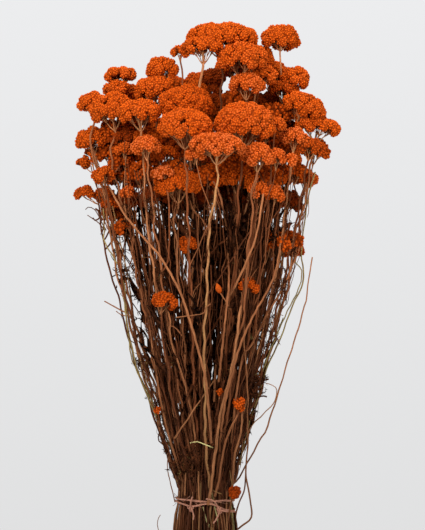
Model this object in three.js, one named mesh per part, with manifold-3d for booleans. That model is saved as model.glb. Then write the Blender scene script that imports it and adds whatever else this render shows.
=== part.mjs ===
// Dried lonas in a vase: a tied bunch of flat orange flower heads on thin brown stems.
// Millimetres, +Z up. The origin is the centre of the vase's underside. The front is -Y.
import * as THREE from 'three';
import { ConvexGeometry } from 'three/addons/geometries/ConvexGeometry.js';
import { mergeVertices } from 'three/addons/utils/BufferGeometryUtils.js';
import Module from 'manifold-3d';

const wasm = await Module();
wasm.setup();

// Vase
const VASE_HEIGHT = 165;
const BASE_RADIUS = 49;
const BELLY_RADIUS = 59;
const MOUTH_RADIUS = 51;
const WALL = 6;
const FLOOR = 11;
const FOOT_CHAMFER = 3;
const FLOOR_CHAMFER = 4;
const VASE_SIDES = 24;

// Bundle
const GAP = 0.3;
const TIE_HEIGHT = 205;
const INNER_SPRAYS = 3;
const OUTER_SPRAYS = 9;
const INNER_RING = 9.5;
const OUTER_RING = 24.5;
const PRESSED = 3.4;
const BASE_SPREAD = 1.22;
const BASE_OPENING = 1.9;
const LEVEL_STEP = 112;
const FREE_ABOVE_TIE = 50;
const BOW = 0.5;
const JITTER = 12;

// Stems, forks and twigs
const STEM_RADIUS = 2.1;
const TWIG_RADIUS = 1.2;
const LONE_STEM_RADIUS = 1.3;
const PRONG_RADIUS = 0.8;
const CAP_SLANT = 0.3;
const FOOT_SWELL = 1.12;
const TOP_TAPER = 0.68;
const OWN_STEM_WIDTH = 25;
const STOUT_STEM_WIDTH = 60;
const TWIG_DROP = 66;
const TWIG_LEVELS = [0, 0.4, 0.75];
const BACK_STEMS = 15;
const STEM_CLEARANCE = 0.9;
const HEAD_CLEARANCE = 1.2;
const PRONG_SPACING = 17;
const PRONG_REACH = 0.29;
const ROUNDS = 260;

// Flower heads
const RIM_SHARE = 0.3;
const UNDERSIDE_SHARE = 0.28;
const LOWEST = -0.45;
const DEPTH_SHARE = 0.92;
const FLORET_RISE = 0.8;
const FLORET_RISE_PER_MM = 0.018;
const SWELL = 0.13;
const PEAKS_AT_LEAST = 3;
const PEAKS_PER_MM = 0.345;
const GOLDEN_ANGLE = Math.PI * (3 - Math.sqrt(5));
const LEAN_WITH_STEM = 0.6;
const LEAN_ROOT = 60;
const RESTING_REACH = 0.95;

// Dry leaves
const LEAF_HEIGHTS = [236, 252, 268, 244, 262, 285, 300, 320, 345, 372, 400];
const LEAF_LENGTH = 20;
const LEAF_PAIRS = 3;
const LEAF_THICKNESS = 0.8;
const LEAF_TILT = -0.9;
const LEAF_SWING = 0.22;

// Tie
const STRAND_RADIUS = 1.1;
const STRAND_WAVE = 0.5;
const STRAND_SLOPE = 3.2;
const TURN_DISTANCE = 1.2;
const TIE_SIDES = 18;
const KNOT_RADIUS = 3.9;
const LEFT_KNOT = -2.05;
const RIGHT_KNOT = -1.12;

// Each line is one flower head, or the heads pressed together in one cluster.
// A cushion is [x, y, z of its middle, width, height, lean to the right in degrees].
const CLUSTERS = [
  // Top of the bunch
  [[19, 6, 714, 76, 28], [-2, -16, 702, 46, 22], [-27, -8, 696, 24, 15]],
  [[50, 12, 692, 54, 28], [56, -10, 671, 46, 22]],
  [[84, 14, 714, 44, 30]],
  [[-47, 4, 680, 38, 26], [-55, -4, 657, 48, 28]],
  // Left side, from the top down
  [[-94, 22, 673, 38, 18], [-98, 14, 658, 33, 17]],
  [[-124, -12, 641, 36, 22], [-102, -26, 635, 50, 34]],
  [[-125, 4, 602, 40, 24], [-127, 13, 584, 22, 17], [-136, 13, 575, 20, 14]],
  [[-111, -26, 561, 27, 20]],
  [[-133, 16, 542, 25, 15]],
  [[-105, 28, 524, 23, 15], [-97, 27, 518, 22, 15], [-89, 25, 510, 21, 16]],
  [[-85, -26, 542, 18, 15]],
  [[-89, -16, 590, 24, 16], [-89, -8, 603, 34, 20]],
  // Middle, from the top down
  [[10, 42, 672, 30, 20], [10, 39, 658, 22, 18], [10, 35, 644, 34, 20]],
  [[-23, -48, 640, 60, 36], [-11, -22, 655, 32, 20]],
  [[-71, -46, 629, 46, 28]],
  [[-22, -84, 614, 60, 34]],
  [[-64, -72, 592, 35, 20]],
  [[13, -98, 592, 56, 26], [-9, -92, 583, 24, 15]],
  [[-30, -50, 552, 52, 28], [-34, -41, 569, 32, 18], [-45, -62, 563, 28, 15]],
  [[35, -40, 559, 38, 24]],
  [[42, -66, 619, 68, 40], [77, -56, 617, 26, 14]],
  [[43, 30, 647, 38, 22], [69, 24, 643, 38, 22]],
  // Right side, from the top down
  [[100, 12, 669, 36, 26], [87, 8, 657, 36, 20]],
  [[110, -10, 637, 54, 28, 16], [124, -4, 616, 54, 20]],
  [[98, -42, 602, 34, 20], [115, -34, 592, 36, 19]],
  [[112, 6, 558, 30, 20]],
  [[58, -84, 582, 38, 26], [78, -78, 579, 24, 20], [93, -74, 576, 16, 14]],
  [[58, -72, 544, 26, 18], [76, -68, 540, 24, 18]],
  // Low heads among the stems
  [[-19, -40, 485, 25, 19]],
  [[-43, -62, 424, 30, 18, 22]],
  [[48, -52, 440, 23, 19]],
  [[84, 14, 484, 30, 24], [102, 14, 478, 20, 16]],
  [[37, -45, 311, 17, 18]],
  [[32, -39, 215, 17, 18]],
  [[16, -47, 324, 9, 8]],
  [[-52, -30, 304, 10, 9]],
  // Far side, hidden by the front ones
  [[-86, 66, 650, 52, 28]],
  [[-44, 82, 662, 54, 28], [-4, 84, 668, 46, 24]],
  [[38, 72, 686, 52, 28], [73, 65, 678, 46, 26]],
  [[96, 66, 632, 48, 26], [60, 88, 630, 54, 28]],
  [[10, 102, 634, 56, 30]],
  [[-45, 98, 614, 56, 28]],
  [[-93, 62, 602, 46, 26]],
  [[88, 66, 584, 44, 24]],
  [[24, 96, 586, 50, 24], [-14, 96, 583, 46, 24]],
  [[-68, 72, 560, 40, 22]],
];

const LONE_STEM = [[46, 2, 242], [67, 2, 280], [92, 0, 357], [111, -2, 423], [118, -4, 471]];
const LONE_STEM_SLOPE = [0.3, 0];

let seed = 20231;

function random() {
  seed = (seed * 1664525 + 1013904223) % 4294967296;
  return seed / 4294967296;
}

function mix(a, b, share) {
  return a + (b - a) * share;
}

// Solids

function solidOf(geometry) {
  geometry.deleteAttribute('normal');
  geometry.deleteAttribute('uv');
  const merged = mergeVertices(geometry, 1e-5);
  const mesh = new wasm.Mesh({
    numProp: 3,
    vertProperties: new Float32Array(merged.attributes.position.array),
    triVerts: new Uint32Array(merged.index.array),
  });
  return new wasm.Manifold(mesh);
}

function geometryOf(solid) {
  const mesh = solid.getMesh();
  const geometry = new THREE.BufferGeometry();
  geometry.setAttribute('position', new THREE.BufferAttribute(mesh.vertProperties, 3));
  geometry.setIndex(new THREE.BufferAttribute(mesh.triVerts, 1));
  geometry.computeVertexNormals();
  return geometry;
}

function joined(solids) {
  return solids.reduce((whole, solid) => whole.add(solid));
}

function largestBody(solid) {
  const bodies = solid.decompose();
  return bodies.reduce((best, body) => (body.volume() > best.volume() ? body : best));
}

// A piece scaled about its middle, so that it is larger by the gap on every side.
function grown(solid) {
  const { min, max } = solid.boundingBox();
  const scale = max.map((high, axis) => 1 + (2 * GAP) / (0.5 * (high - min[axis])));
  const shift = max.map((high, axis) => 0.5 * (high + min[axis]) * (1 - scale[axis]));
  return solid.scale(scale).translate(shift);
}

function overlaps(first, second) {
  return first.intersect(second).volume() > 0.001;
}

// A path through given points, with one ring of the tube at each point.
class PointPath extends THREE.Curve {
  constructor(points) {
    super();
    this.points = points;
  }

  getUtoTmapping(u) {
    return u;
  }

  getPoint(t, target = new THREE.Vector3()) {
    const place = t * (this.points.length - 1);
    const index = Math.min(Math.floor(place), this.points.length - 2);
    return target.lerpVectors(this.points[index], this.points[index + 1], place - index);
  }
}

function polygon(radius, sides) {
  const corners = [];
  for (let side = 0; side < sides; side += 1) {
    const angle = (2 * Math.PI * side) / sides;
    corners.push(new THREE.Vector2(radius * Math.cos(angle), radius * Math.sin(angle)));
  }
  return new THREE.Shape(corners);
}

// A round stick of changing radius along the points.
function tube(points, radius, sides, scaleAt = () => 1) {
  const geometry = new THREE.ExtrudeGeometry(polygon(radius, sides), {
    steps: points.length - 1,
    extrudePath: new PointPath(points),
  });
  const position = geometry.attributes.position;
  const vertex = new THREE.Vector3();
  for (let index = 0; index < position.count; index += 1) {
    vertex.fromBufferAttribute(position, index);
    let nearest = 0;
    points.forEach((point, at) => {
      if (point.distanceToSquared(vertex) < points[nearest].distanceToSquared(vertex)) {
        nearest = at;
      }
    });
    const scale = scaleAt(nearest / (points.length - 1));
    vertex.sub(points[nearest]).multiplyScalar(scale).add(points[nearest]);
    position.setXYZ(index, vertex.x, vertex.y, vertex.z);
  }
  return solidOf(geometry);
}

// Vase: a lathed pot with a rounded belly, an even wall and a plain round lip.

function makeVase() {
  const belly = [
    [mix(BASE_RADIUS, BELLY_RADIUS, 0.68), 30],
    [BELLY_RADIUS, 78],
    [mix(BELLY_RADIUS, MOUTH_RADIUS, 0.25), 112],
  ];
  const outside = [
    [BASE_RADIUS - FOOT_CHAMFER, 0],
    [BASE_RADIUS, FOOT_CHAMFER],
    ...belly,
    [mix(BELLY_RADIUS, MOUTH_RADIUS, 0.8), 142],
    [MOUTH_RADIUS, VASE_HEIGHT - WALL / 2],
    [MOUTH_RADIUS - WALL * 0.3, VASE_HEIGHT - WALL * 0.1],
    [MOUTH_RADIUS - WALL / 2, VASE_HEIGHT],
  ];
  const inside = [
    [MOUTH_RADIUS - WALL * 0.8, VASE_HEIGHT - WALL * 0.2],
    [MOUTH_RADIUS - WALL, VASE_HEIGHT - WALL],
    ...belly.map(([radius, z]) => [radius - WALL, z]).reverse(),
    [BASE_RADIUS - WALL, FLOOR + FLOOR_CHAMFER],
    [BASE_RADIUS - WALL - FLOOR_CHAMFER, FLOOR],
  ];
  const profile = [[0, 0], ...outside, ...inside, [0, FLOOR]].map(([r, z]) => new THREE.Vector2(r, z));
  return solidOf(new THREE.LatheGeometry(profile, VASE_SIDES).rotateX(Math.PI / 2));
}

// Flower heads: a cushion whose surface is raised in one low peak for each cluster of florets.

function raiseFlorets(hull, depth) {
  hull.deleteAttribute('normal');
  const skin = mergeVertices(hull, 1e-4);
  const corners = skin.index.array;
  const position = skin.attributes.position;
  const vertices = Array.from(position.array);
  const faceOfEdge = new Map();
  const triangle = new THREE.Triangle();
  const middle = new THREE.Vector3();
  const normal = new THREE.Vector3();
  for (let start = 0; start < corners.length; start += 3) {
    const [a, b, c] = corners.slice(start, start + 3);
    triangle.setFromAttributeAndIndices(position, a, b, c);
    triangle.getMidpoint(middle);
    triangle.getNormal(normal);
    const flat = normal.z < -0.9;
    middle.addScaledVector(normal, flat ? 0 : -depth);
    vertices.push(middle.x, middle.y, Math.max(middle.z, 0));
    const face = position.count + start / 3;
    faceOfEdge.set(`${a} ${b}`, face);
    faceOfEdge.set(`${b} ${c}`, face);
    faceOfEdge.set(`${c} ${a}`, face);
  }
  const faces = [];
  faceOfEdge.forEach((face, edge) => {
    const [from, to] = edge.split(' ');
    faces.push(Number(from), faceOfEdge.get(`${to} ${from}`), face);
  });
  const geometry = new THREE.BufferGeometry();
  geometry.setAttribute('position', new THREE.Float32BufferAttribute(vertices, 3));
  geometry.setIndex(faces);
  return geometry;
}

function cushionGeometry(width, height) {
  const peaks = Math.round(PEAKS_AT_LEAST + PEAKS_PER_MM * width);
  const underside = peaks - Math.max(4, Math.round(UNDERSIDE_SHARE * peaks));
  const start = 2 * Math.PI * random();
  const points = [];
  for (let peak = 0; peak < peaks; peak += 1) {
    const cosine = mix(1, LOWEST, (peak + 0.5) / peaks);
    const reach = 0.5 * width * Math.sqrt(1 - cosine * cosine) * (1 + SWELL * (random() - 0.5));
    const turn = start + peak * GOLDEN_ANGLE;
    const rise = height * (RIM_SHARE + (1 - RIM_SHARE) * cosine) * (1 + SWELL * (random() - 0.5));
    const z = peak < underside ? Math.max(rise, 0) : 0;
    points.push(new THREE.Vector3(reach * Math.cos(turn), DEPTH_SHARE * reach * Math.sin(turn), z));
  }
  return raiseFlorets(new ConvexGeometry(points), FLORET_RISE + FLORET_RISE_PER_MM * width);
}

// The frame of a cushion: its own +Z points up through the dome.
function cushionFrame([x, y, z, width, height, lean = 0]) {
  const rise = z - TIE_HEIGHT + LEAN_ROOT;
  const up = new THREE.Vector3((LEAN_WITH_STEM * x) / rise, (LEAN_WITH_STEM * y) / rise, 1);
  up.x += Math.tan(THREE.MathUtils.degToRad(lean));
  up.normalize();
  const foot = new THREE.Vector3(x, y, z).addScaledVector(up, -height / 2);
  return { foot, up, width, height };
}

function cushionSolid(frame) {
  const turn = new THREE.Quaternion().setFromUnitVectors(new THREE.Vector3(0, 0, 1), frame.up);
  const geometry = cushionGeometry(frame.width, frame.height);
  geometry.applyQuaternion(turn);
  geometry.translate(frame.foot.x, frame.foot.y, frame.foot.z);
  return solidOf(geometry);
}

// A head whose underside is pressed into the next head of its cluster shows no stem of its own.
function restsOnSibling(frame, frames) {
  return frames.some((other) => {
    const middle = other.foot.clone().addScaledVector(other.up, other.height / 2);
    const away = frame.foot.clone().sub(middle);
    const across = (2 * Math.hypot(away.x, away.y)) / other.width;
    const reach = Math.hypot(across, (2 * away.z) / other.height);
    return other !== frame && other.cluster === frame.cluster && reach < RESTING_REACH;
  });
}

// Moves whole clusters forward or back until their cushions no longer meet.
function spreadClusters(clusters) {
  const all = clusters.flatMap((cushions, owner) => cushions.map((cushion) => ({ cushion, owner })));
  for (let round = 0; round < ROUNDS; round += 1) {
    all.forEach((one) => all.forEach((other) => {
      if (one.owner >= other.owner) {
        return;
      }
      const [x1, y1, z1, w1, h1] = one.cushion;
      const [x2, y2, z2, w2, h2] = other.cushion;
      const across = (x1 - x2) / ((w1 + w2) / 2 + 1);
      const above = (z1 - z2) / ((h1 + h2) / 2 + 1);
      const left = 1 - across * across - above * above;
      if (left <= 0) {
        return;
      }
      const need = ((w1 + w2) / 2 + 1) * Math.sqrt(left);
      const away = y1 - y2;
      if (Math.abs(away) < need) {
        const push = (Math.sign(away) || 1) * 0.25 * (need - Math.abs(away));
        clusters[one.owner].forEach((cushion) => { cushion[1] += push; });
        clusters[other.owner].forEach((cushion) => { cushion[1] -= push; });
      }
    }));
  }
}

// Stems: each runs from the vase's floor through the tie to the fork under its head.

// Where a stem is at a height, with the two points that it lies between.
function locate(stem, z) {
  let index = 0;
  while (index < stem.points.length - 2 && stem.points[index + 1].z < z) {
    index += 1;
  }
  const low = stem.points[index];
  const high = stem.points[index + 1];
  const share = (z - low.z) / (high.z - low.z);
  return { index, share, x: mix(low.x, high.x, share), y: mix(low.y, high.y, share) };
}

function shift(stem, z, x, y) {
  const { index, share } = locate(stem, z);
  const weights = [stem.held(index) ? 0 : 1 - share, stem.held(index + 1) ? 0 : share];
  const total = Math.max(weights[0] ** 2 + weights[1] ** 2, 0.15);
  weights.forEach((weight, end) => {
    const point = stem.points[index + end];
    point.x += (x * weight) / total;
    point.y += (y * weight) / total;
  });
}

function radiusAt(stem, z) {
  return stem.radius * mix(FOOT_SWELL, TOP_TAPER, Math.min(1, (z - FLOOR) / (stem.top - FLOOR)));
}

function pushApart(first, second) {
  const together = first.spray === second.spray;
  const low = Math.max(first.points[0].z, second.points[0].z, together ? TIE_HEIGHT + FREE_ABOVE_TIE : 0);
  const high = Math.min(first.top, second.top);
  if (low >= high || first.parent === second || second.parent === first) {
    return;
  }
  const heights = [low, high];
  [...first.points, ...second.points].forEach(({ z }) => {
    if (z > low && z < high) {
      heights.push(z);
    }
  });
  heights.sort((a, b) => a - b);
  for (let index = 0; index + 1 < heights.length; index += 1) {
    const [start, end] = [heights[index], heights[index + 1]];
    const apart = (z) => {
      const a = locate(first, z);
      const b = locate(second, z);
      return new THREE.Vector2(a.x - b.x, a.y - b.y);
    };
    const from = apart(start);
    const change = apart(end).sub(from);
    const share = THREE.MathUtils.clamp(-from.dot(change) / Math.max(change.lengthSq(), 1e-9), 0, 1);
    const gap = from.addScaledVector(change, share);
    const z = mix(start, end, share);
    const need = radiusAt(first, z) + radiusAt(second, z) + STEM_CLEARANCE;
    const distance = gap.length();
    if (distance < need) {
      gap.multiplyScalar((0.5 * (need - distance)) / Math.max(distance, 1e-6));
      shift(first, z, gap.x, gap.y);
      shift(second, z, -gap.x, -gap.y);
    }
  }
}

function pushAround(stem, frame) {
  const centre = frame.foot.clone().addScaledVector(frame.up, frame.height / 2);
  const margin = stem.radius + HEAD_CLEARANCE;
  [-0.5, -0.25, 0, 0.25, 0.5].forEach((level) => {
    const z = centre.z + level * (frame.height + 2 * margin);
    if (z < stem.points[0].z || z > stem.top) {
      return;
    }
    const slimming = Math.sqrt(1 - 2 * level * level);
    const place = locate(stem, z);
    const across = (place.x - centre.x) / ((frame.width / 2) * slimming + margin);
    const away = (place.y - centre.y) / ((DEPTH_SHARE * frame.width * slimming) / 2 + margin);
    const reach = Math.hypot(across, away);
    if (reach < 1) {
      const push = 0.5 * (1 / Math.max(reach, 0.2) - 1);
      shift(stem, z, (place.x - centre.x) * push, (place.y - centre.y) * push);
    }
  });
}

// The places at the tie: one in the middle of each spray, and then more pressed round it.
function tiePlaces(count) {
  const sprays = INNER_SPRAYS + OUTER_SPRAYS;
  const places = [];
  for (let index = 0; index < count; index += 1) {
    const spray = index % sprays;
    const layer = Math.floor(index / sprays);
    const inner = spray < INNER_SPRAYS;
    const angle = (2 * Math.PI * (spray + 0.25)) / (inner ? INNER_SPRAYS : OUTER_SPRAYS);
    const ring = inner ? INNER_RING : OUTER_RING;
    const side = angle + (Math.PI * (2 * layer + 1)) / 4;
    const offset = new THREE.Vector2(Math.cos(side), Math.sin(side)).multiplyScalar(layer ? 1 : 0);
    places.push({
      spray,
      centre: new THREE.Vector2(ring * Math.cos(angle), ring * Math.sin(angle)),
      offset: offset.multiplyScalar(PRESSED),
    });
  }
  return places;
}

// Gives each stem the free place that its direction points at, then swaps pairs while that helps.
function choosePlaces(directions, places) {
  const reach = Math.max(...directions.map((direction) => direction.length()));
  const targets = directions.map((direction) => direction.clone().multiplyScalar(OUTER_RING / reach));
  const spots = places.map(({ centre, offset }) => centre.clone().add(offset));
  const cost = (stem, place) => targets[stem].distanceToSquared(spots[place]);
  const chosen = places.map((place, index) => index);
  let changed = true;
  while (changed) {
    changed = false;
    for (let a = 0; a < chosen.length; a += 1) {
      for (let b = a + 1; b < chosen.length; b += 1) {
        const now = cost(a, chosen[a]) + cost(b, chosen[b]);
        const swapped = cost(a, chosen[b]) + cost(b, chosen[a]);
        if (swapped < now - 1e-6) {
          [chosen[a], chosen[b]] = [chosen[b], chosen[a]];
          changed = true;
        }
      }
    }
  }
  return targets.map((target, index) => places[chosen[index]]);
}

function forkHeight(frame) {
  return 5 + 0.2 * frame.width;
}

function mainStem(place, frame) {
  const sides = frame.foot.y > BACK_STEMS ? 4 : 5;
  const radius = STEM_RADIUS * mix(0.8, 1.06, Math.min(1, frame.width / STOUT_STEM_WIDTH));
  const closeness = (radius * Math.cos(Math.PI / sides)) / STEM_RADIUS;
  const at = (spread, opening) => place.centre.clone().multiplyScalar(spread)
    .addScaledVector(place.offset, opening * mix(0.36, 1.05, closeness));
  const foot = at(BASE_SPREAD, BASE_OPENING);
  const tie = at(1, 1);
  const points = [
    new THREE.Vector3(foot.x, foot.y, FLOOR + GAP),
    new THREE.Vector3(tie.x, tie.y, TIE_HEIGHT),
  ];
  const fork = frame.foot.clone().addScaledVector(frame.up, -forkHeight(frame));
  const levels = Math.max(1, Math.round((fork.z - TIE_HEIGHT) / LEVEL_STEP));
  for (let level = 1; level < levels; level += 1) {
    const share = level / levels;
    const bow = 1 + BOW * share * (1 - share);
    const jitter = JITTER * share * (1.3 - share);
    points.push(new THREE.Vector3(
      mix(tie.x, fork.x, share) * bow + jitter * (random() - 0.5),
      mix(tie.y, fork.y, share) * bow + jitter * (random() - 0.5),
      mix(TIE_HEIGHT, fork.z, share),
    ));
  }
  points.push(fork, frame.foot.clone().addScaledVector(frame.up, -GAP - CAP_SLANT));
  const last = points.length - 1;
  return {
    points,
    frame,
    prongs: [],
    spray: place.spray,
    radius,
    sides,
    top: points[last].z,
    held: (index) => index < 2 || index === last,
  };
}

// The one stem that carries no head and stands clear of the others.
function loneStem(place) {
  const points = LONE_STEM.map((point) => new THREE.Vector3(...point));
  const top = { foot: points[points.length - 1].clone(), up: new THREE.Vector3(0.1, 0, 1), width: 0 };
  const stem = mainStem(place, top);
  stem.points = [...stem.points.slice(0, 2), ...points];
  stem.radius = LONE_STEM_RADIUS;
  stem.sides = 4;
  stem.frame = null;
  return stem;
}

// A side twig grows out of the nearest long stem below its head.
function sideTwig(frame, stems) {
  const fork = frame.foot.clone().addScaledVector(frame.up, -0.5 * forkHeight(frame));
  const rootHeight = Math.max(fork.z - TWIG_DROP, TIE_HEIGHT - 20);
  let parent = null;
  let nearest = Infinity;
  stems.filter((stem) => stem.top > rootHeight + 40).forEach((stem) => {
    const place = locate(stem, rootHeight);
    const distance = Math.hypot(place.x - fork.x, place.y - fork.y);
    if (distance < nearest) {
      nearest = distance;
      parent = stem;
    }
  });
  const root = locate(parent, rootHeight);
  const points = TWIG_LEVELS.map((share) => new THREE.Vector3(
    mix(root.x, fork.x, share ** 0.8),
    mix(root.y, fork.y, share ** 0.8),
    mix(rootHeight, fork.z, share),
  ));
  points.push(fork, frame.foot.clone().addScaledVector(frame.up, -GAP - CAP_SLANT));
  return {
    points,
    frame,
    prongs: [],
    parent,
    spray: parent.spray,
    radius: TWIG_RADIUS,
    sides: 3,
    top: points[4].z,
    held: (index) => index === 0 || index === 4,
  };
}

function settleStems(stems, frames) {
  for (let round = 0; round < ROUNDS; round += 1) {
    stems.forEach((first, index) => {
      stems.slice(index + 1).forEach((second) => pushApart(first, second));
      frames.filter((frame) => frame !== first.frame).forEach((frame) => pushAround(first, frame));
      if (first.parent) {
        const root = locate(first.parent, first.points[0].z);
        first.points[0].set(root.x, root.y, first.points[0].z);
      }
    });
  }
}

// The short branches between the fork and the underside of the head.
function addProngs(stem) {
  const { frame, points } = stem;
  const fork = points[points.length - 2];
  const root = fork.clone().lerp(points[points.length - 1], 0.12);
  const side = new THREE.Vector3(1, 0, 0).addScaledVector(frame.up, -frame.up.x).normalize();
  const count = Math.min(3, Math.floor(frame.width / PRONG_SPACING));
  const start = 2 * Math.PI * random();
  for (let index = 0; index < count; index += 1) {
    const angle = start + (2 * Math.PI * index) / Math.max(count, 2);
    const reach = PRONG_REACH * frame.width * mix(0.8, 1.15, random());
    const tip = frame.foot.clone().addScaledVector(frame.up, -GAP - PRONG_RADIUS)
      .addScaledVector(side.clone().applyAxisAngle(frame.up, angle), reach);
    stem.prongs.push([root, tip]);
  }
}

// A stem and its prongs as separate solids, made thicker by what their neighbours keep clear of them.
function stemSolids(stem, extra = 0) {
  const lengthShare = (share) => {
    const z = stem.points[Math.round(share * (stem.points.length - 1))].z;
    return (radiusAt(stem, z) + extra) / (stem.radius + extra);
  };
  const stick = tube(stem.points, stem.radius + extra, stem.sides, lengthShare);
  return [stick, ...stem.prongs.map((prong) => tube(prong, PRONG_RADIUS + extra, 3))];
}

// Cuts the clearance of every stem that meets a piece out of it.
function clearedOf(piece, stems) {
  const meets = stems.filter((stem) => stemSolids(stem).some((solid) => overlaps(piece, solid)));
  return meets.reduce((rest, stem) => stemSolids(stem, GAP).reduce(
    (cut, solid) => (overlaps(cut, solid) ? cut.subtract(solid) : cut),
    rest,
  ), piece);
}

// Dry leaves: a thin arched blade cut into leaflets to the rib, rooted in its stem.

function leafGeometry(length, width, curl) {
  const outline = [[0, -0.5]];
  for (let pair = 0; pair < LEAF_PAIRS; pair += 1) {
    const along = (length * (pair + 0.6)) / (LEAF_PAIRS + 0.6);
    const reach = width * Math.sin((Math.PI * (pair + 1)) / (LEAF_PAIRS + 1.4));
    outline.push([along, -0.5], [along + 0.2 * length, -reach]);
  }
  outline.push([length, 0]);
  const mirrored = outline.slice(1, -1).reverse().map(([along, across]) => [along, -across]);
  const corners = [...outline, ...mirrored, [0, 0.5]].map(([x, y]) => new THREE.Vector2(x, y));
  const blade = { depth: LEAF_THICKNESS, bevelEnabled: false };
  const geometry = new THREE.ExtrudeGeometry(new THREE.Shape(corners), blade);
  const position = geometry.attributes.position;
  for (let index = 0; index < position.count; index += 1) {
    const along = position.getX(index);
    const angle = (curl * along) / length;
    const radius = length / curl - position.getZ(index);
    const lift = 0.25 * Math.abs(position.getY(index));
    position.setX(index, radius * Math.sin(angle) - lift * Math.sin(angle));
    position.setZ(index, length / curl - radius * Math.cos(angle) + lift * Math.cos(angle));
  }
  return geometry;
}

function leafSolid(stem, z, angle, length, curl) {
  const place = locate(stem, z);
  const geometry = leafGeometry(length, 0.3 * length, curl);
  geometry.rotateY(LEAF_TILT);
  geometry.rotateZ(angle);
  geometry.translate(place.x, place.y, z);
  return solidOf(geometry);
}

// Leaves stand on the outermost stems and turn until they are clear of the neighbouring sprays.
function growLeaves(sprays, stems) {
  const outer = stems.filter((stem) => stem.spray >= INNER_SPRAYS && stem.top > 500);
  LEAF_HEIGHTS.forEach((z, index) => {
    const stem = outer[(index * 7) % outer.length];
    const place = locate(stem, z);
    const outward = Math.atan2(place.y, place.x);
    for (let turn = 0; turn < 6; turn += 1) {
      const swing = (turn % 2 ? 1 : -1) * LEAF_SWING * Math.ceil(turn / 2);
      const leaf = leafSolid(stem, z, outward + swing, LEAF_LENGTH * (1 + 0.4 * random()), 2.2 + random());
      const clear = sprays.every((spray, owner) => owner === stem.spray || !overlaps(spray, leaf));
      if (clear) {
        sprays[stem.spray] = sprays[stem.spray].add(leaf);
        return;
      }
    }
  });
}

// Raffia: two wavy turns round the bundle, joined by the knots, with short tails.

function makeTie() {
  const ringRadius = OUTER_RING + PRESSED + STEM_RADIUS * 1.1 + GAP + STRAND_RADIUS + STRAND_WAVE;
  const turns = [0, 1].map((turn) => {
    const geometry = new THREE.TorusGeometry(ringRadius, STRAND_RADIUS, 4, TIE_SIDES);
    const position = geometry.attributes.position;
    for (let index = 0; index < position.count; index += 1) {
      const angle = Math.atan2(position.getY(index), position.getX(index));
      const wave = 1 + (STRAND_WAVE / ringRadius) * Math.sin(7 * angle + turn);
      position.setX(index, position.getX(index) * wave);
      position.setY(index, position.getY(index) * wave);
      const slope = turn ? -STRAND_SLOPE : STRAND_SLOPE;
      const rise = slope * Math.sin(angle + 1.1) + 0.8 * Math.sin(3 * angle + turn);
      position.setZ(index, position.getZ(index) + rise);
    }
    geometry.translate(0, 0, TIE_HEIGHT + turn * TURN_DISTANCE);
    return solidOf(geometry);
  });
  const at = (angle, radius, z) => (
    new THREE.Vector3(radius * Math.cos(angle), radius * Math.sin(angle), TIE_HEIGHT + z)
  );
  const knots = [[LEFT_KNOT, -2.2], [RIGHT_KNOT, -1.2]].map(([angle, z]) => {
    const knot = new THREE.IcosahedronGeometry(KNOT_RADIUS, 0);
    knot.scale(1, 0.8, 1.15);
    knot.translate(...at(angle, ringRadius + 2.4, z).toArray());
    return solidOf(knot);
  });
  const tails = [
    [at(LEFT_KNOT, ringRadius + 3, -3), at(-2.2, ringRadius + 7, -9), at(-2.28, ringRadius + 8, -17)],
    [at(RIGHT_KNOT, ringRadius + 3, -2), at(-0.95, ringRadius + 7, -5), at(-0.8, ringRadius + 9, -11)],
    [at(RIGHT_KNOT, ringRadius + 3, 0), at(-1.25, ringRadius + 7, 5), at(-1.4, ringRadius + 8, 9)],
  ].map((points) => tube(points, STRAND_RADIUS, 4, (share) => mix(1.1, 0.7, share)));
  return joined([...turns, ...knots, ...tails]);
}

// Assembly

spreadClusters(CLUSTERS);
const frames = CLUSTERS.flatMap((cushions, cluster) => cushions.map((cushion) => (
  { ...cushionFrame(cushion), cluster }
)));
const onStems = frames.filter((frame) => !restsOnSibling(frame, frames));
const carried = onStems.filter((frame) => frame.width >= OWN_STEM_WIDTH);
const small = onStems.filter((frame) => frame.width < OWN_STEM_WIDTH);
const directions = carried.map(({ foot }) => (
  new THREE.Vector2(foot.x, foot.y).divideScalar(foot.z - TIE_HEIGHT)
));
directions.push(new THREE.Vector2(...LONE_STEM_SLOPE));
const places = choosePlaces(directions, tiePlaces(directions.length));
const longStems = carried.map((frame, index) => mainStem(places[index], frame));
const stems = [...longStems, loneStem(places[carried.length])];
stems.push(...small.map((frame) => sideTwig(frame, longStems)));
settleStems(stems, frames);

stems.filter(({ frame }) => frame).forEach(addProngs);

const sprays = [];
for (let spray = 0; spray < INNER_SPRAYS + OUTER_SPRAYS; spray += 1) {
  const members = stems.filter((stem) => stem.spray === spray);
  const earlier = stems.filter((stem) => stem.spray < spray);
  sprays.push(clearedOf(joined(members.flatMap((stem) => stemSolids(stem))), earlier));
}
growLeaves(sprays, longStems);

const heads = [];
CLUSTERS.forEach((cushions, cluster) => {
  const whole = joined(frames.filter((frame) => frame.cluster === cluster).map(cushionSolid));
  const open = clearedOf(whole, stems);
  const clearOf = (rest, head) => (overlaps(rest, head) ? rest.subtract(grown(head)) : rest);
  heads.push(heads.reduce(clearOf, open));
});

const brownStem = new THREE.MeshStandardMaterial({ color: 0x8a5a3c, roughness: 0.85, metalness: 0 });
const orangeFloret = new THREE.MeshStandardMaterial({ color: 0xc8501c, roughness: 0.95, metalness: 0 });
const raffia = new THREE.MeshStandardMaterial({ color: 0xb08a6a, roughness: 0.9, metalness: 0 });
const stoneware = new THREE.MeshStandardMaterial({ color: 0xd9d4ca, roughness: 0.6, metalness: 0 });

const group = new THREE.Group();

function addPiece(name, solid, material) {
  const mesh = new THREE.Mesh(geometryOf(solid), material);
  mesh.name = name;
  group.add(mesh);
}

function numbered(name, index) {
  return `${name}_${String(index + 1).padStart(2, '0')}`;
}

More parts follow.
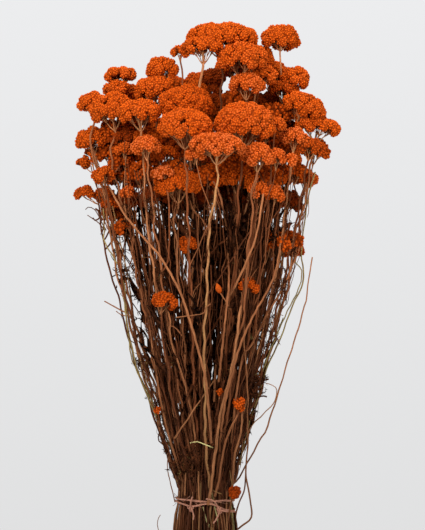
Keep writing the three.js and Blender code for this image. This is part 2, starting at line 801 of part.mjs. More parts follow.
addPiece('vase', makeVase(), stoneware);
addPiece('raffia_tie', makeTie(), raffia);
sprays.forEach((solid, index) => addPiece(numbered('stem_spray', index), largestBody(solid), brownStem));
heads.forEach((solid, index) => addPiece(numbered('flower_head', index), largestBody(solid), orangeFloret));

export default group;
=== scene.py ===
"""Dried lonas in a vase: flat orange flower heads on thin brown stems, tied with raffia
and stood in a plain stoneware pot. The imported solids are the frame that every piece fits."""

import functools
import math

import bmesh
import bpy
import numpy as np
from mathutils import Matrix, Vector


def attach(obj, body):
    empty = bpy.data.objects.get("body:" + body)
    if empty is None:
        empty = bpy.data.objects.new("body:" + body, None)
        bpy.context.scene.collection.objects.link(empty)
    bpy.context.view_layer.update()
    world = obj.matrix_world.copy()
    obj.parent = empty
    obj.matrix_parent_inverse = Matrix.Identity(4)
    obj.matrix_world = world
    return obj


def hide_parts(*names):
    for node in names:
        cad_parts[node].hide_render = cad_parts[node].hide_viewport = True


bl_info = {
    "name": "Dried Lonas in a Vase",
    "version": (1, 0, 0),
    "blender": (4, 5, 0),
    "location": "3D Viewport > Sidebar > Lonas",
    "description": "Builds the flower heads, stems, tie and pot of a dried bunch around its solids",
    "category": "Object",
}

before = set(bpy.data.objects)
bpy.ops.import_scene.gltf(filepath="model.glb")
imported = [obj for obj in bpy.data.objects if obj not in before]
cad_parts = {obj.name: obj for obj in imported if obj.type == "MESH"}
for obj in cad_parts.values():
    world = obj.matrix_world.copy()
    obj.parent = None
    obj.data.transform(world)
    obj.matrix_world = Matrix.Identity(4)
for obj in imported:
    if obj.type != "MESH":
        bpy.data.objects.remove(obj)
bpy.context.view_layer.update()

MM = 0.001

# The tie, the floor of the vase, and how much wider than at the tie the stems stand on it.
TIE_HEIGHT = 205 * MM
TIE_TOP = 210 * MM
TIE_RADIUS = 29.5 * MM
VASE_FLOOR = 12 * MM
FOOT_SPREAD = 1.28

# How the stems of the solids are traced: slice by slice, from their tops down to the trace's end.
# The drift is the most that a stem moves from one slice to the next. A trace that comes below the
# long height is a long stem, which goes on through the tie. The others are side twigs.
SLICE = 6 * MM
FIRST_SLICE = 1.5 * MM
TRACE_END = 214 * MM
DRIFT = 3.5 * MM
SHORTEST_TRACE = 24 * MM
LONG_BELOW = 300 * MM

# How far from its cushion's fork a long stem or a twig may end, and the least rise of a new twig.
LONG_CATCH = 45 * MM
TWIG_CATCH = 22 * MM
TWIG_RISE = 22 * MM

# The length over which a single stem sinks in among the others at its ends.
SINKING = 42 * MM

# Cushions lean away from a place on the middle line, at this height in millimetres and by this
# share of the full slope. They are a little less deep than wide.
LEAN_ROOT = 145
LEAN_SHARE = 0.6
CUSHION_DEPTH = 0.92

# Shares of a cushion's height below and above its rim, how far apart its small round flowers stand
# in radii, down to which level of the dome, and the share of their size they have on tiny cushions.
RIM_SHARE = 0.38
DOME_SHARE = 0.62
BUTTON_STEP = 1.62
LOWEST_LEVEL = -0.4
LEAST_BUTTON = 0.74

# Heads from this number on are on the far side of the bunch, with coarser florets.
FIRST_BACK_HEAD = 37
FAR_SIDE_COARSENESS = 1.14

# Where the random draws of each kind of piece start. Each head adds its own number.
BUTTON_SEED, FLORET_SEED, FRONT_HEADS_SEED, INNER_HEADS_SEED, TONE_SEED = 500, 900, 98, 99, 7
STEM_SEED, FILLER_SEED, TWIG_SEED, FOOT_SEED, THREAD_SEED = 51, 77, 78, 79, 83
LEAF_SEED, CURL_CHOICE_SEED, RIBBON_CHOICE_SEED, TIE_SEED = 91, 5, 6, 33

# Flower heads in millimetres, one row for each solid, from its source.
# A cushion is x, y and z of its middle, its width and height, and its lean to the right in degrees.
HEADS = [
    [(19, -13.9, 714, 76, 28), (-2, -35.9, 702, 46, 22), (-27, -27.9, 696, 24, 15)],
    [(50, 15.9, 692, 54, 28), (56, -6.1, 671, 46, 22)],
    [(84, 14, 714, 44, 30)],
    [(-47, 4, 680, 38, 26), (-55, -4, 657, 48, 28)],
    [(-94, 22, 673, 38, 18), (-98, 14, 658, 33, 17)],
    [(-124, -6.4, 641, 36, 22), (-102, -20.4, 635, 50, 34)],
    [(-125, 4, 602, 40, 24), (-127, 13, 584, 22, 17), (-136, 13, 575, 20, 14)],
    [(-111, -26, 561, 27, 20)],
    [(-133, 16, 542, 25, 15)],
    [(-105, 28, 524, 23, 15), (-97, 27, 518, 22, 15), (-89, 25, 510, 21, 16)],
    [(-85, -26, 542, 18, 15)],
    [(-89, -16, 590, 24, 16), (-89, -8, 603, 34, 20)],
    [(10, 55.4, 672, 30, 20), (10, 52.4, 658, 22, 18), (10, 48.4, 644, 34, 20)],
    [(-23, -39.2, 640, 60, 36), (-11, -13.2, 655, 32, 20)],
    [(-71, -57.4, 629, 46, 28)],
    [(-22, -81.3, 614, 60, 34)],
    [(-64, -72, 592, 35, 20)],
    [(13, -103.8, 592, 56, 26), (-9, -97.8, 583, 24, 15)],
    [(-30, -50, 552, 52, 28), (-34, -41, 569, 32, 18), (-45, -62, 563, 28, 15)],
    [(35, -40, 559, 38, 24)],
    [(42, -66, 619, 68, 40), (77, -56, 617, 26, 14)],
    [(43, 32.5, 647, 38, 22), (69, 26.5, 643, 38, 22)],
    [(100, 7.4, 669, 36, 26), (87, 3.4, 657, 36, 20)],
    [(110, -11.9, 637, 54, 28, 16), (124, -5.9, 616, 54, 20)],
    [(98, -42, 602, 34, 20), (115, -34, 592, 36, 19)],
    [(112, 6, 558, 30, 20)],
    [(58, -84, 582, 38, 26), (78, -78, 579, 24, 20), (93, -74, 576, 16, 14)],
    [(58, -72, 544, 26, 18), (76, -68, 540, 24, 18)],
    [(-19, -40, 485, 25, 19)],
    [(-43, -62, 424, 30, 18, 22)],
    [(48, -52, 440, 23, 19)],
    [(84, 14, 484, 30, 24), (102, 14, 478, 20, 16)],
    [(37, -45, 311, 17, 18)],
    [(32, -39, 215, 17, 18)],
    [(16, -47, 324, 9, 8)],
    [(-52, -30, 304, 10, 9)],
    [(-86, 61.2, 650, 52, 28)],
    [(-44, 89.2, 662, 54, 28), (-4, 91.2, 668, 46, 24)],
    [(38, 76.1, 686, 52, 28), (73, 69.1, 678, 46, 26)],
    [(96, 61, 632, 48, 26), (60, 83, 630, 54, 28)],
    [(10, 107, 634, 56, 30)],
    [(-45, 98, 614, 56, 28)],
    [(-93, 62, 602, 46, 26)],
    [(88, 66, 584, 44, 24)],
    [(24, 96, 586, 50, 24), (-14, 96, 583, 46, 24)],
    [(-68, 72, 560, 40, 22)],
]

# Smaller heads that fill the gaps between the others: how pale or, below 0, how dark they are,
# then x, y, z, width and height in millimetres. Dark is painted shade inside the bunch; pale is
# dust and painted light.
INNER_HEADS = [
    (0.1, (42, -34, 690, 58, 32)),
    (0.15, (60, -24, 672, 40, 26)),
    (0.3, (46, -44, 660, 40, 22)),
    (-0.9, (-34, -16, 590, 36, 22)),
    (-0.1, (-42, -44, 584, 30, 18)),
    (-0.5, (-12, -26, 588, 32, 20)),
    (-0.35, (8, -22, 560, 44, 26)),
    (-0.3, (32, -34, 572, 42, 24)),
    (-0.3, (58, -44, 586, 32, 20)),
    (-0.7, (30, 8, 642, 40, 24)),
    (-0.6, (2, 18, 630, 44, 26)),
    (-0.5, (-18, 24, 652, 36, 22)),
    (-0.5, (74, -10, 630, 38, 22)),
    (-0.4, (62, -20, 606, 38, 22)),
    (-0.6, (92, 18, 612, 34, 20)),
    (-0.4, (122, 12, 590, 34, 22)),
    (-0.4, (66, -24, 560, 44, 26)),
    (-0.34, (74, -24, 488, 40, 24)),
    (-0.45, (94, -12, 490, 32, 20)),
    (-0.5, (-90, -6, 505, 26, 18)),
    (-0.7, (-105, 6, 530, 26, 16)),
    (-0.1, (-62, -32, 602, 36, 22)),
    (-0.5, (-84, 16, 606, 42, 26)),
    (-0.55, (-97, 4, 613, 42, 24)),
    (-0.45, (-98, 8, 562, 34, 22)),
    (-0.6, (-70, 14, 582, 46, 26)),
    (-0.5, (-76, 18, 624, 38, 22)),
    (-0.6, (-30, 42, 600, 48, 28)),
    (-0.6, (34, 48, 596, 50, 28)),
    (-0.6, (80, 32, 562, 40, 24)),
    (-0.6, (-46, 34, 550, 42, 24)),
    (-0.6, (-2, 40, 558, 46, 26)),
    (-0.4, (-112, 28, 540, 28, 18)),
    (-0.5, (100, -8, 566, 32, 20)),
    (-0.35, (-108, 12, 588, 32, 20)),
    (-0.5, (-92, -2, 576, 34, 22)),
    (-0.5, (-72, -10, 564, 36, 24)),
    (-0.5, (78, 6, 598, 40, 24)),
    (-1.5, (28, 4, 536, 46, 28)),
    (-1.6, (-22, 6, 532, 46, 28)),
    (-1.2, (62, 12, 534, 42, 26)),
    (-1.5, (4, -14, 541, 40, 24)),
    (-1.3, (-52, -6, 540, 38, 24)),
    (-1.0, (-84, 6, 534, 34, 22)),
    (-1.2, (92, 4, 534, 32, 22)),
]

# How pale or, below 0, how dark a head is, where it isn't the plain orange. Dark is painted shade
# for heads that stand in shade. Pale ones are dusty, and some of that paleness is painted light.
HEAD_SHADES = {
    8: -0.3, 9: -0.35, 10: -0.5, 11: 0.4, 12: 0.25, 13: -1.0, 14: -0.2, 16: 0.05, 17: 0.45,
    18: 0.5, 19: -0.1, 21: 0.15, 22: -0.9, 25: 0.45, 26: 0.2, 27: 0.4, 28: 0.3, 29: -0.5,
    30: -0.5, 31: -0.4, 32: -0.5, 33: -0.35, 34: -1.1, 35: -0.4, 36: -0.8, 38: -0.6, 41: -0.6,
}

# The same for single cushions, on top of their head's: the head and its cushion, counted from 1.
CUSHION_SHADES = {(12, 2): -1.2, (19, 3): 0.9, (23, 2): -0.45, (25, 2): -1.1}

# The smaller heads in between that are paler than this stand in front and have fine florets.
FRONT_SHADE = -0.25
INNER_COARSENESS = 1.5

# Low heads, and places on the slanting stem, that no leaf hides: x, y and z in millimetres.
OPEN_PLACES = [
    (-19, -40, 485), (-43, -62, 424), (48, -52, 440), (37, -45, 311), (16, -47, 324),
    (15, -60, 434), (-80, -44, 507), (-64, -48, 489), (-50, -52, 472),
]
OPEN_REACH = 19 * MM

# The closed bud's stalk in millimetres, from the bud down to the front stem that bears it.
BUD_STALK = [(17, -51, 431), (21, -52, 425), (25, -51.5, 419), (28, -49.5, 413)]

# Single stems, twigs and straws in millimetres: colour tone, radius, depth, and x, z along it.
# Tone runs from 0, nearly black, through red-brown and tan, to 0.87, olive, and 1, straw.
# Depth is 1 at the front of the bunch, 0 in its middle and -1 at its back.
SINGLE_STEMS = [
    (0.54, 1.35, 1.4, [
        (-109, 554), (-84, 512), (-48, 470), (-25, 428), (-9, 377), (0, 343), (4, 308), (7, 269),
    ]),
    (0.46, 1.3, 1.35, [
        (1, 565), (14, 544), (22, 512), (25, 478), (26, 444), (23, 412), (19, 374), (15, 335),
    ]),
    (0.52, 1.3, 1.2, [
        (63, 539), (59, 512), (52, 483), (35, 444), (22, 417), (15, 385), (12, 352), (10, 313),
    ]),
    (0.48, 1.3, 1.1, [
        (84, 495), (77, 456), (68, 434), (51, 404), (38, 374), (30, 346), (22, 313), (16, 269),
    ]),
    (0.5, 1.2, 0.9, [
        (96, 473), (89, 444), (67, 407), (50, 374), (42, 365), (36, 335), (32, 302), (28, 258),
    ]),
    (0.54, 1.3, 1, [
        (-65, 434), (-63, 407), (-59, 384), (-53, 343), (-46, 302), (-36, 264), (-24, 225),
    ]),
    (0.56, 1.3, 1, [
        (-44, 420), (-38, 404), (-37, 380), (-25, 343), (-16, 308), (-11, 275), (-8, 242),
    ]),
    (0.68, 1.6, 1, [
        (40, 423), (37, 407), (35, 384), (30, 355), (26, 335), (19, 310), (13, 273), (7, 223),
        (3, 200),
    ]),
    (0.58, 0.9, 1, [
        (42, 401), (43, 372), (45, 350), (47, 314), (46, 301), (47, 268), (45, 234), (50, 201),
        (51, 184), (42, 176), (33, 169),
    ]),
    (0.64, 0.85, 1, [(10, 336), (-11, 306), (-33, 273)]),
    (1.0, 0.7, 1, [(-16, 268), (-11, 269), (-7, 269), (1, 266), (9, 263)]),
    (0.74, 1.1, 1, [(-7, 237), (-7, 221), (-6, 203)]),
    (0.72, 0.7, 1, [(-21, 235), (-22, 210)]),
    (0.97, 0.7, 1, [(-2, 198), (2, 181)]),
    (0.96, 0.9, 1, [(4, 179), (3, 167), (1, 150)]),
    (0.78, 0.9, 1, [(10, 180), (9, 165), (9, 150)]),
    (0.5, 0.8, 0, [(-111, 422), (-102, 417), (-93, 412), (-86, 409)]),
    (0.5, 0.6, 0, [(-98, 411), (-94, 408), (-90, 406), (-85, 406)]),
    (0.87, 0.85, 0.1, [
        (-112, 528), (-111, 503), (-110, 486), (-93, 456), (-89, 424), (-83, 373), (-78, 352),
        (-59, 314), (-46, 279), (-35, 253), (-28, 214),
    ]),
    (0.86, 0.9, 0.3, [
        (-105, 533), (-103, 511), (-98, 481), (-88, 435), (-86, 402), (-81, 374), (-70, 335),
        (-45, 277), (-36, 258), (-28, 220),
    ]),
    (0.8, 0.8, -0.2, [
        (-102, 528), (-96, 500), (-84, 445), (-78, 401), (-72, 363), (-64, 335), (-51, 311),
        (-41, 278), (-30, 236),
    ]),
    (0.45, 0.8, 0.4, [(-72, 379), (-54, 335), (-46, 308), (-38, 275), (-32, 247)]),
    (0.87, 0.85, 0.1, [
        (121, 564), (114, 539), (109, 506), (106, 474), (108, 444), (96, 417), (84, 384),
        (67, 346), (57, 313), (46, 280), (38, 242),
    ]),
    (0.87, 0.7, 0.3, [
        (99, 465), (106, 455), (103, 436), (90, 410), (80, 388), (69, 362), (58, 330),
    ]),
    (0.8, 0.8, -0.1, [(86, 489), (84, 461), (82, 417), (67, 368), (55, 324), (45, 286)]),
    (0.75, 0.6, 0.3, [
        (67, 332), (74, 330), (79, 326), (78, 318), (75, 309), (63, 297), (52, 286), (43, 269),
    ]),
    (0.1, 0.8, 0.2, [(-46, 284), (-50, 278), (-51, 273), (-50, 268), (-44, 264)]),
    (0.6, 0.6, 0.5, [(-39, 262), (-41, 247), (-41, 238), (-37, 218), (-33, 201)]),
    (0.6, 0.5, 0.6, [(-49, 187), (-51, 184), (-52, 177), (-51, 168), (-47, 154), (-43, 143)]),
    (0.62, 0.8, 1.05, [(-31, 405), (-16, 407), (-2, 410), (6, 413), (18, 412)]),
    (0.55, 0.6, 1.05, [(-16, 407), (-2, 409.5), (1, 416), (6, 420)]),
    (0.5, 0.7, 1.2, [(-38, 396), (-34, 395), (-30, 392), (-25, 385)]),
    (0.48, 1.4, 1, [(38, 309), (35, 297), (23, 272), (16, 232), (11, 209)]),
    (0.6, 1.25, 1, [(41, 308), (39, 279), (33, 257), (31, 236), (29, 203)]),
    (0.82, 0.6, 1, [(27, 237), (30, 222)]),
    (0.8, 0.6, 1, [(7, 217), (12, 214), (18, 212)]),
    (0.4, 0.9, 0.8, [(45, 236), (43, 214), (38, 201), (34, 188), (33, 170)]),
    (0.1, 0.6, 0, [(-132, 523), (-128, 526), (-122, 523), (-118, 517), (-114, 509), (-109, 500)]),
    (0.15, 0.6, 0, [(-130, 517), (-124, 513), (-118, 509), (-110, 499)]),
    (0.12, 1.3, 0, [(-121, 524), (-117, 521), (-116, 516), (-113, 511)]),
    (0.12, 1.0, 0, [(-124, 514), (-121, 511), (-117, 513), (-114, 518)]),
    (0.08, 1.5, 0.1, [(-21, 520), (-23, 490), (-25, 460), (-24, 430), (-20, 390), (-16, 340)]),
    (0.06, 1.4, -0.1, [(-27, 520), (-29, 490), (-29, 455), (-27, 420), (-24, 380), (-18, 330)]),
    (0.08, 1.4, 0, [(-74, 530), (-72, 505), (-69, 480), (-64, 440), (-55, 380), (-42, 310)]),
    (0.06, 1.4, 0.1, [(-60, 535), (-57, 510), (-53, 480), (-48, 440), (-40, 380), (-30, 310)]),
    (0.06, 1.4, -0.1, [(-52, 535), (-50, 512), (-47, 480), (-42, 440), (-36, 390)]),
    (0.08, 1.3, 0.2, [(-32, 440), (-30, 415), (-27, 380), (-22, 340)]),
    (0.6, 0.5, 0.3, [(-87, 410), (-82, 404), (-78, 396), (-81, 389)]),
    (0.1, 0.5, 0.3, [(-81, 390), (-86, 387), (-82, 379), (-75, 375)]),
    (0.1, 0.5, 0.2, [(80, 423), (87, 428), (89, 420), (84, 413)]),
    (0.85, 0.45, 0, [(86, 406), (78, 409), (74, 404), (72, 395)]),
    (0.85, 0.5, 0.2, [(69, 395), (77, 389), (82, 395), (86, 404)]),
    (0.1, 0.6, 0.2, [(63, 368), (69, 365), (73, 374), (77, 382)]),
    (0.1, 0.95, 0.3, [(60, 334), (65, 335), (70, 336.5)]),
    (0.1, 0.95, 0.3, [(58, 316), (63, 318), (68, 317)]),
]

# The straight stem at the right that carries no head and stands clear of the others.
LONE_STEM = (0, 0)
LONE_STEM_REACH = 108 * MM

# The least radius of a long stem.
THINNEST_STEM = 1.0 * MM

# Stems that stand out by their colour: the head and its cushion, counted from 1, and their tone.
STEM_TONES = {
    LONE_STEM: 0.6, (1, 1): 0.12, (1, 2): 0.74, (2, 1): 0.1, (2, 2): 0.62, (3, 1): 0.68,
    (7, 1): 0.55, (12, 1): 0.62, (14, 1): 0.5, (15, 1): 0.6, (16, 1): 0.3, (18, 1): 0.78,
    (24, 1): 0.66, (25, 1): 0.66,
}

# Heads whose stems fork close under them: their cushion and the height of the fork in millimetres.
SHORT_FORKS = {HEADS[2][0]: 1.5, HEADS[0][1]: 11}

# Stems that bend as seen from the front: the head and its cushion, and x and z in millimetres.
STEM_BENDS = {
    (18, 1): [
        (17.6, 580), (13, 550), (8.8, 528), (6.2, 511), (3.9, 478), (1.8, 445),
        (1.8, 423), (0, 390), (-1, 357), (1, 291), (0, 200),
    ],
    (1, 2): [(-4, 700), (-5.5, 685), (-6, 658), (-4, 620), (0, 560)],
    (3, 1): [(81.4, 710), (81.4, 660), (76, 590)],
}

# Twigs that stand clear of their neighbours: head and cushion, and places along them from below.
CLEAR_TWIGS = {
    (1, 3): [(-21, -20, 612), (-25, -26, 648), (-25, -28, 674)],
    (19, 3): [(-40, -52, 466), (-38.5, -60, 492), (-38.5, -65, 527), (-42, -66, 546)],
}

# Where curled leaves gather: x and z of the middle, reach, how many, and how far out in front.
LEAF_PATCHES = [
    (-19, 246, 18, 120, 6),
    (60, 329, 13, 80, 7),
    (-76, 352, 12, 40, 2),
    (-90, 500, 14, 26, 2),
    (66, 380, 12, 24, 2),
    (-60, 300, 12, 24, 2),
    (-100, 450, 14, 24, 2),
    (84, 440, 14, 24, 2),
    (-20, 516, 22, 50, -6),
    (-62, 500, 24, 60, -4),
    (-86, 462, 20, 40, -4),
    (24, 518, 22, 40, -8),
    (70, 510, 20, 40, -4),
    (-60, 440, 22, 40, -4),
]

# Gaps of light between the stems that long leaves close: x and z in millimetres.
LEAF_GAPS = [
    (-52, 527), (-62, 522), (-27, 515), (-25, 501), (-66, 497), (-57, 496), (-54, 483),
    (-37, 491), (-64, 475), (-27, 445), (-21, 468), (-67, 445), (76, 508),
]

# Shapes of the curled leaves: length in millimetres, curl in radians and pairs of leaflets.
CURL_KINDS = [(16, 4.4, 6), (13, 6.2, 5), (22, 3.0, 8), (18, 5.2, 0), (11, 7.5, 0), (20, 2.2, 0)]

# Shapes of the long leaves: length and width in millimetres, twist and bend in radians.
RIBBON_KINDS = [
    (46, 8, 5, 0.5), (70, 7.5, 9, 0.7), (58, 10, 3, -0.6),
    (84, 6.5, 7, 0.4), (40, 9.5, 4, 1.1), (64, 9, -6, -0.8),
]

# The left and right edges of the bunch in millimetres: height, left x and right x.
EDGES = [
    (200, -29, 30), (225, -32, 36), (253, -41, 45), (279, -50, 51), (313, -61, 60), (351, -75, 68),
    (387, -84, 78), (423, -92, 88), (478, -109, 104), (528, -114, 116), (600, -130, 130),
]

# Above this height thin stems and leaves fill only these shares of the way to each edge.
OPEN_FROM = 270 * MM
FILLED_LEFT = 0.76
FILLED_RIGHT = 0.86

# The raffia tie in millimetres: the height of each turn at angles round the bunch in degrees.
UPPER_TURN = {
    -180: 205.5, -120: 204.6, -90: 203, -60: 204.5, -20: 203, 0: 203, 60: 204, 120: 206, 180: 205.5,
}
LOWER_TURN = {
    -180: 203, -150: 201, -120: 197.5, -95: 201.5, -75: 200.5,
    -58: 194.5, -20: 191.5, 0: 193, 90: 199, 180: 203,
}
UPPER_REACH, LOWER_REACH = 31.6, 32.2

# How thick its strands are where it is knotted and loose, and the length in which they twist once.
THIN_STRAND = 0.85 * MM
LOOSE_TWIST, TURN_TWIST, KNOT_TWIST = 12 * MM, 10 * MM, 6 * MM
LOOSE_FIBRES = 26

# Its two knots and the loose tails that come out of them.
LEFT_KNOT, RIGHT_KNOT = (-15.6, -29.5, 196.5), (16.0, -29.5, 194.0)
TAILS = [
    [LEFT_KNOT, (-15.8, -33, 201), (-14.6, -34, 206.5), (-13.5, -33, 209)],
    [LEFT_KNOT, (-13.5, -33.5, 193), (-12.2, -34.5, 188), (-13, -35, 184)],
    [RIGHT_KNOT, (11, -33, 203), (6, -34, 206), (1, -33.5, 206.6)],
    [RIGHT_KNOT, (22, -31, 193), (28, -26, 192.3), (33, -20, 191.8)],
    [RIGHT_KNOT, (14.5, -34, 189), (12, -35, 184), (9, -35.5, 180)],
]

# The vase in millimetres, as radius and height: the ring under its foot, its outer wall upwards
# and its inner wall down to the middle of its floor.
VASE_FOOT = [
    (0, 1.2), (30, 1.2), (35, 1.0), (37.5, 0.1), (39, 0), (45.6, 0), (46.8, 0.3), (48.3, 1.6),
]
VASE_OUTSIDE = [
    (49, 3), (52.6, 14), (55.8, 30), (58.4, 54), (59, 78),
    (57.2, 112), (54.7, 128), (52.6, 142), (51.3, 154), (51, 160.5),
]
VASE_INSIDE = [
    (45, 160), (46.2, 146), (49.5, 126), (51.4, 112), (53, 78),
    (51.6, 48), (49.6, 30), (46.5, 19), (41, 12.5), (36, 11), (0, 11),
]
VASE_SIDES = 64

# The photo: its height in pixels, the millimetres that a pixel shows, and x and z of its middle.
PHOTO_HEIGHT = 530
PIXEL = 1.1
PHOTO_MIDDLE = (8.25 * MM, 461.8 * MM)
CAMERA_DISTANCE = 4.0
SENSOR = 36

# The floor in metres: just under the vase, as two rings round its middle.
FLOOR_LEVEL = -0.0004
FLOOR_RADII = (0.6, 1.9)
FLOOR_CORNERS = 72
BACKDROP_LOW, BACKDROP_HIGH = (0.745, 0.748, 0.752, 1), (0.845, 0.85, 0.862, 1)

# Soft square lights: name, place, the place they are turned to, power and width.
LIGHTS = [
    ("key_light", (-1.5, -3.0, 2.1), (0, 0, 0.5), 118, 1.7),
    ("fill_light", (2.2, -2.6, 1.0), (0, 0, 0.45), 50, 2.0),
    ("top_light", (0.1, -0.3, 2.3), (0, 0, 0.6), 24, 1.4),
]

# Meshes and modifiers


def circle(count, start=0.0):
    """Cosine and sine of corners that stand evenly round a circle."""
    angles = [2 * math.pi * (corner + start) / count for corner in range(count)]
    return [(math.cos(angle), math.sin(angle)) for angle in angles]


def ring_faces(rings, corners):
    """The four-sided faces that join rings of corners to one another."""
    faces = []
    for row in range(rings - 1):
        for corner in range(corners):
            a, b = corners * row + corner, corners * row + (corner + 1) % corners
            faces.append([a, b, b + corners, a + corners])
    return faces


def mesh_piece(name, points, edges=(), faces=(), **values):
    """An object whose place is in its mesh. The values are stored on its points by name."""
    mesh = bpy.data.meshes.new(name)
    mesh.from_pydata([tuple(map(float, point)) for point in points], list(edges), list(faces))
    for label, numbers in values.items():
        numbers = np.asarray(numbers, np.float32)
        single = numbers.ndim == 1
        attribute = mesh.attributes.new(label, "FLOAT" if single else "FLOAT_VECTOR", "POINT")
        attribute.data.foreach_set("value" if single else "vector", numbers.ravel())
    piece = bpy.data.objects.new(name, mesh)
    bpy.context.scene.collection.objects.link(piece)
    return piece


def turned_outwards(mesh):
    """Merges doubles and points every face outwards."""
    shell = bmesh.new()
    shell.from_mesh(mesh)
    bmesh.ops.remove_doubles(shell, verts=shell.verts, dist=1e-6)
    bmesh.ops.recalc_face_normals(shell, faces=shell.faces)
    for face in shell.faces:
        face.smooth = True
    shell.to_mesh(mesh)
    shell.free()


def made_real(piece, tree, values):
    """Runs a geometry tree on the piece and keeps its result as a plain mesh."""
    modifier = piece.modifiers.new(tree.name, "NODES")
    modifier.node_group = tree
    for item in tree.interface.items_tree:
        if item.item_type == "SOCKET" and item.in_out == "INPUT" and item.name in values:
            modifier[item.identifier] = values[item.name]
    graph = bpy.context.evaluated_depsgraph_get()
    mesh = bpy.data.meshes.new_from_object(
        piece.evaluated_get(graph), preserve_all_data_layers=True, depsgraph=graph
    )
    piece.modifiers.clear()
    piece.data = mesh
    if mesh.materials and mesh.materials[0] is None:
        mesh.materials.pop(index=0)
    return piece


def add_part(piece, slot, *nodes):
    """Makes the piece part of the object: it rides on the body and stands for the nodes."""
    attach(piece, "root")
    if nodes:
        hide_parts(*nodes)


def node_in(tree, kind, inputs=None, **settings):
    """Adds a node with its settings and the values or links of its inputs."""
    node = tree.nodes.new(kind)
    for name, value in settings.items():
        setattr(node, name, value)
    for name, value in (inputs or {}).items():
        if isinstance(value, bpy.types.NodeSocket):
            tree.links.new(value, node.inputs[name])
        else:
            node.inputs[name].default_value = value
    return node


def tree_of(name, kind, inputs, outputs):
    """A node group with named sockets: the group, what it is given and what it hands on."""
    tree = bpy.data.node_groups.new(name, kind)
    add_socket = tree.interface.new_socket
    for label, socket, default in inputs:
        made = add_socket(name=label, in_out="INPUT", socket_type=f"NodeSocket{socket}")
        if default is not None:
            made.default_value = default
    for label, socket in outputs:
        add_socket(name=label, in_out="OUTPUT", socket_type=f"NodeSocket{socket}")
    given, result = tree.nodes.new("NodeGroupInput"), tree.nodes.new("NodeGroupOutput")
    return tree, given.outputs, result.inputs


# Geometry trees


def point_value(tree, name, kind="FLOAT"):
    """What the points of a mesh carry under a name."""
    inputs = {"Name": name}
    node = node_in(tree, "GeometryNodeInputNamedAttribute", inputs, data_type=kind)
    return node.outputs["Attribute"]


def with_value(tree, geometry, name, value, kind, domain):
    """The geometry with a value stored on it by name."""
    inputs = {"Geometry": geometry, "Name": name, "Value": value}
    settings = {"data_type": kind, "domain": domain}
    return node_in(tree, "GeometryNodeStoreNamedAttribute", inputs, **settings).outputs["Geometry"]


def random_value(tree, kind, low, high, seed):
    """A value of the kind between two others, by chance."""
    first, second, result = {"FLOAT_VECTOR": (0, 1, 0), "FLOAT": (2, 3, 1), "INT": (4, 5, 2)}[kind]
    inputs = {first: low, second: high, "Seed": seed}
    return node_in(tree, "FunctionNodeRandomValue", inputs, data_type=kind).outputs[result]


def combined(tree, x, y, z):
    """A vector of three numbers."""
    kind = "ShaderNodeCombineXYZ"
    return node_in(tree, kind, {"X": x, "Y": y, "Z": z}).outputs[0]


def finished(tree, geometry, material):
    """The geometry with its copies made real, in its material."""
    real = node_in(tree, "GeometryNodeRealizeInstances", {"Geometry": geometry})
    return in_material(tree, real.outputs["Geometry"], material)


def in_material(tree, geometry, material):
    """The geometry in a material."""
    inputs = {"Geometry": geometry, "Material": material}
    return node_in(tree, "GeometryNodeSetMaterial", inputs).outputs["Geometry"]


@functools.cache
def tube_tree():
    """Round stems along the edges of a mesh, as thick as its points say."""
    tree, given, result = tree_of(
        "Stems Along Lines",
        "GeometryNodeTree",
        [("Lines", "Geometry", None), ("Sides", "Int", 6), ("Material", "Material", None)],
        [("Stems", "Geometry")],
    )
    lines = node_in(tree, "GeometryNodeMeshToCurve", {"Mesh": given["Lines"]})
    inputs = {"Resolution": given["Sides"], "Radius": 1.0}
    outline = node_in(tree, "GeometryNodeCurvePrimitiveCircle", inputs, mode="RADIUS")
    place = node_in(tree, "GeometryNodeInputPosition").outputs["Position"]
    ring = with_value(tree, outline.outputs["Curve"], "ring", place, "FLOAT_VECTOR", "POINT")
    inputs = {
        "Curve": lines.outputs["Curve"],
        "Profile Curve": ring,
        "Scale": point_value(tree, "radius"),
        "Fill Caps": True,
    }
    solid = node_in(tree, "GeometryNodeCurveToMesh", inputs)
    smooth = node_in(tree, "GeometryNodeSetShadeSmooth", {"Geometry": solid.outputs["Mesh"]})
    stems = finished(tree, smooth.outputs["Geometry"], given["Material"])
    tree.links.new(stems, result["Stems"])
    return tree


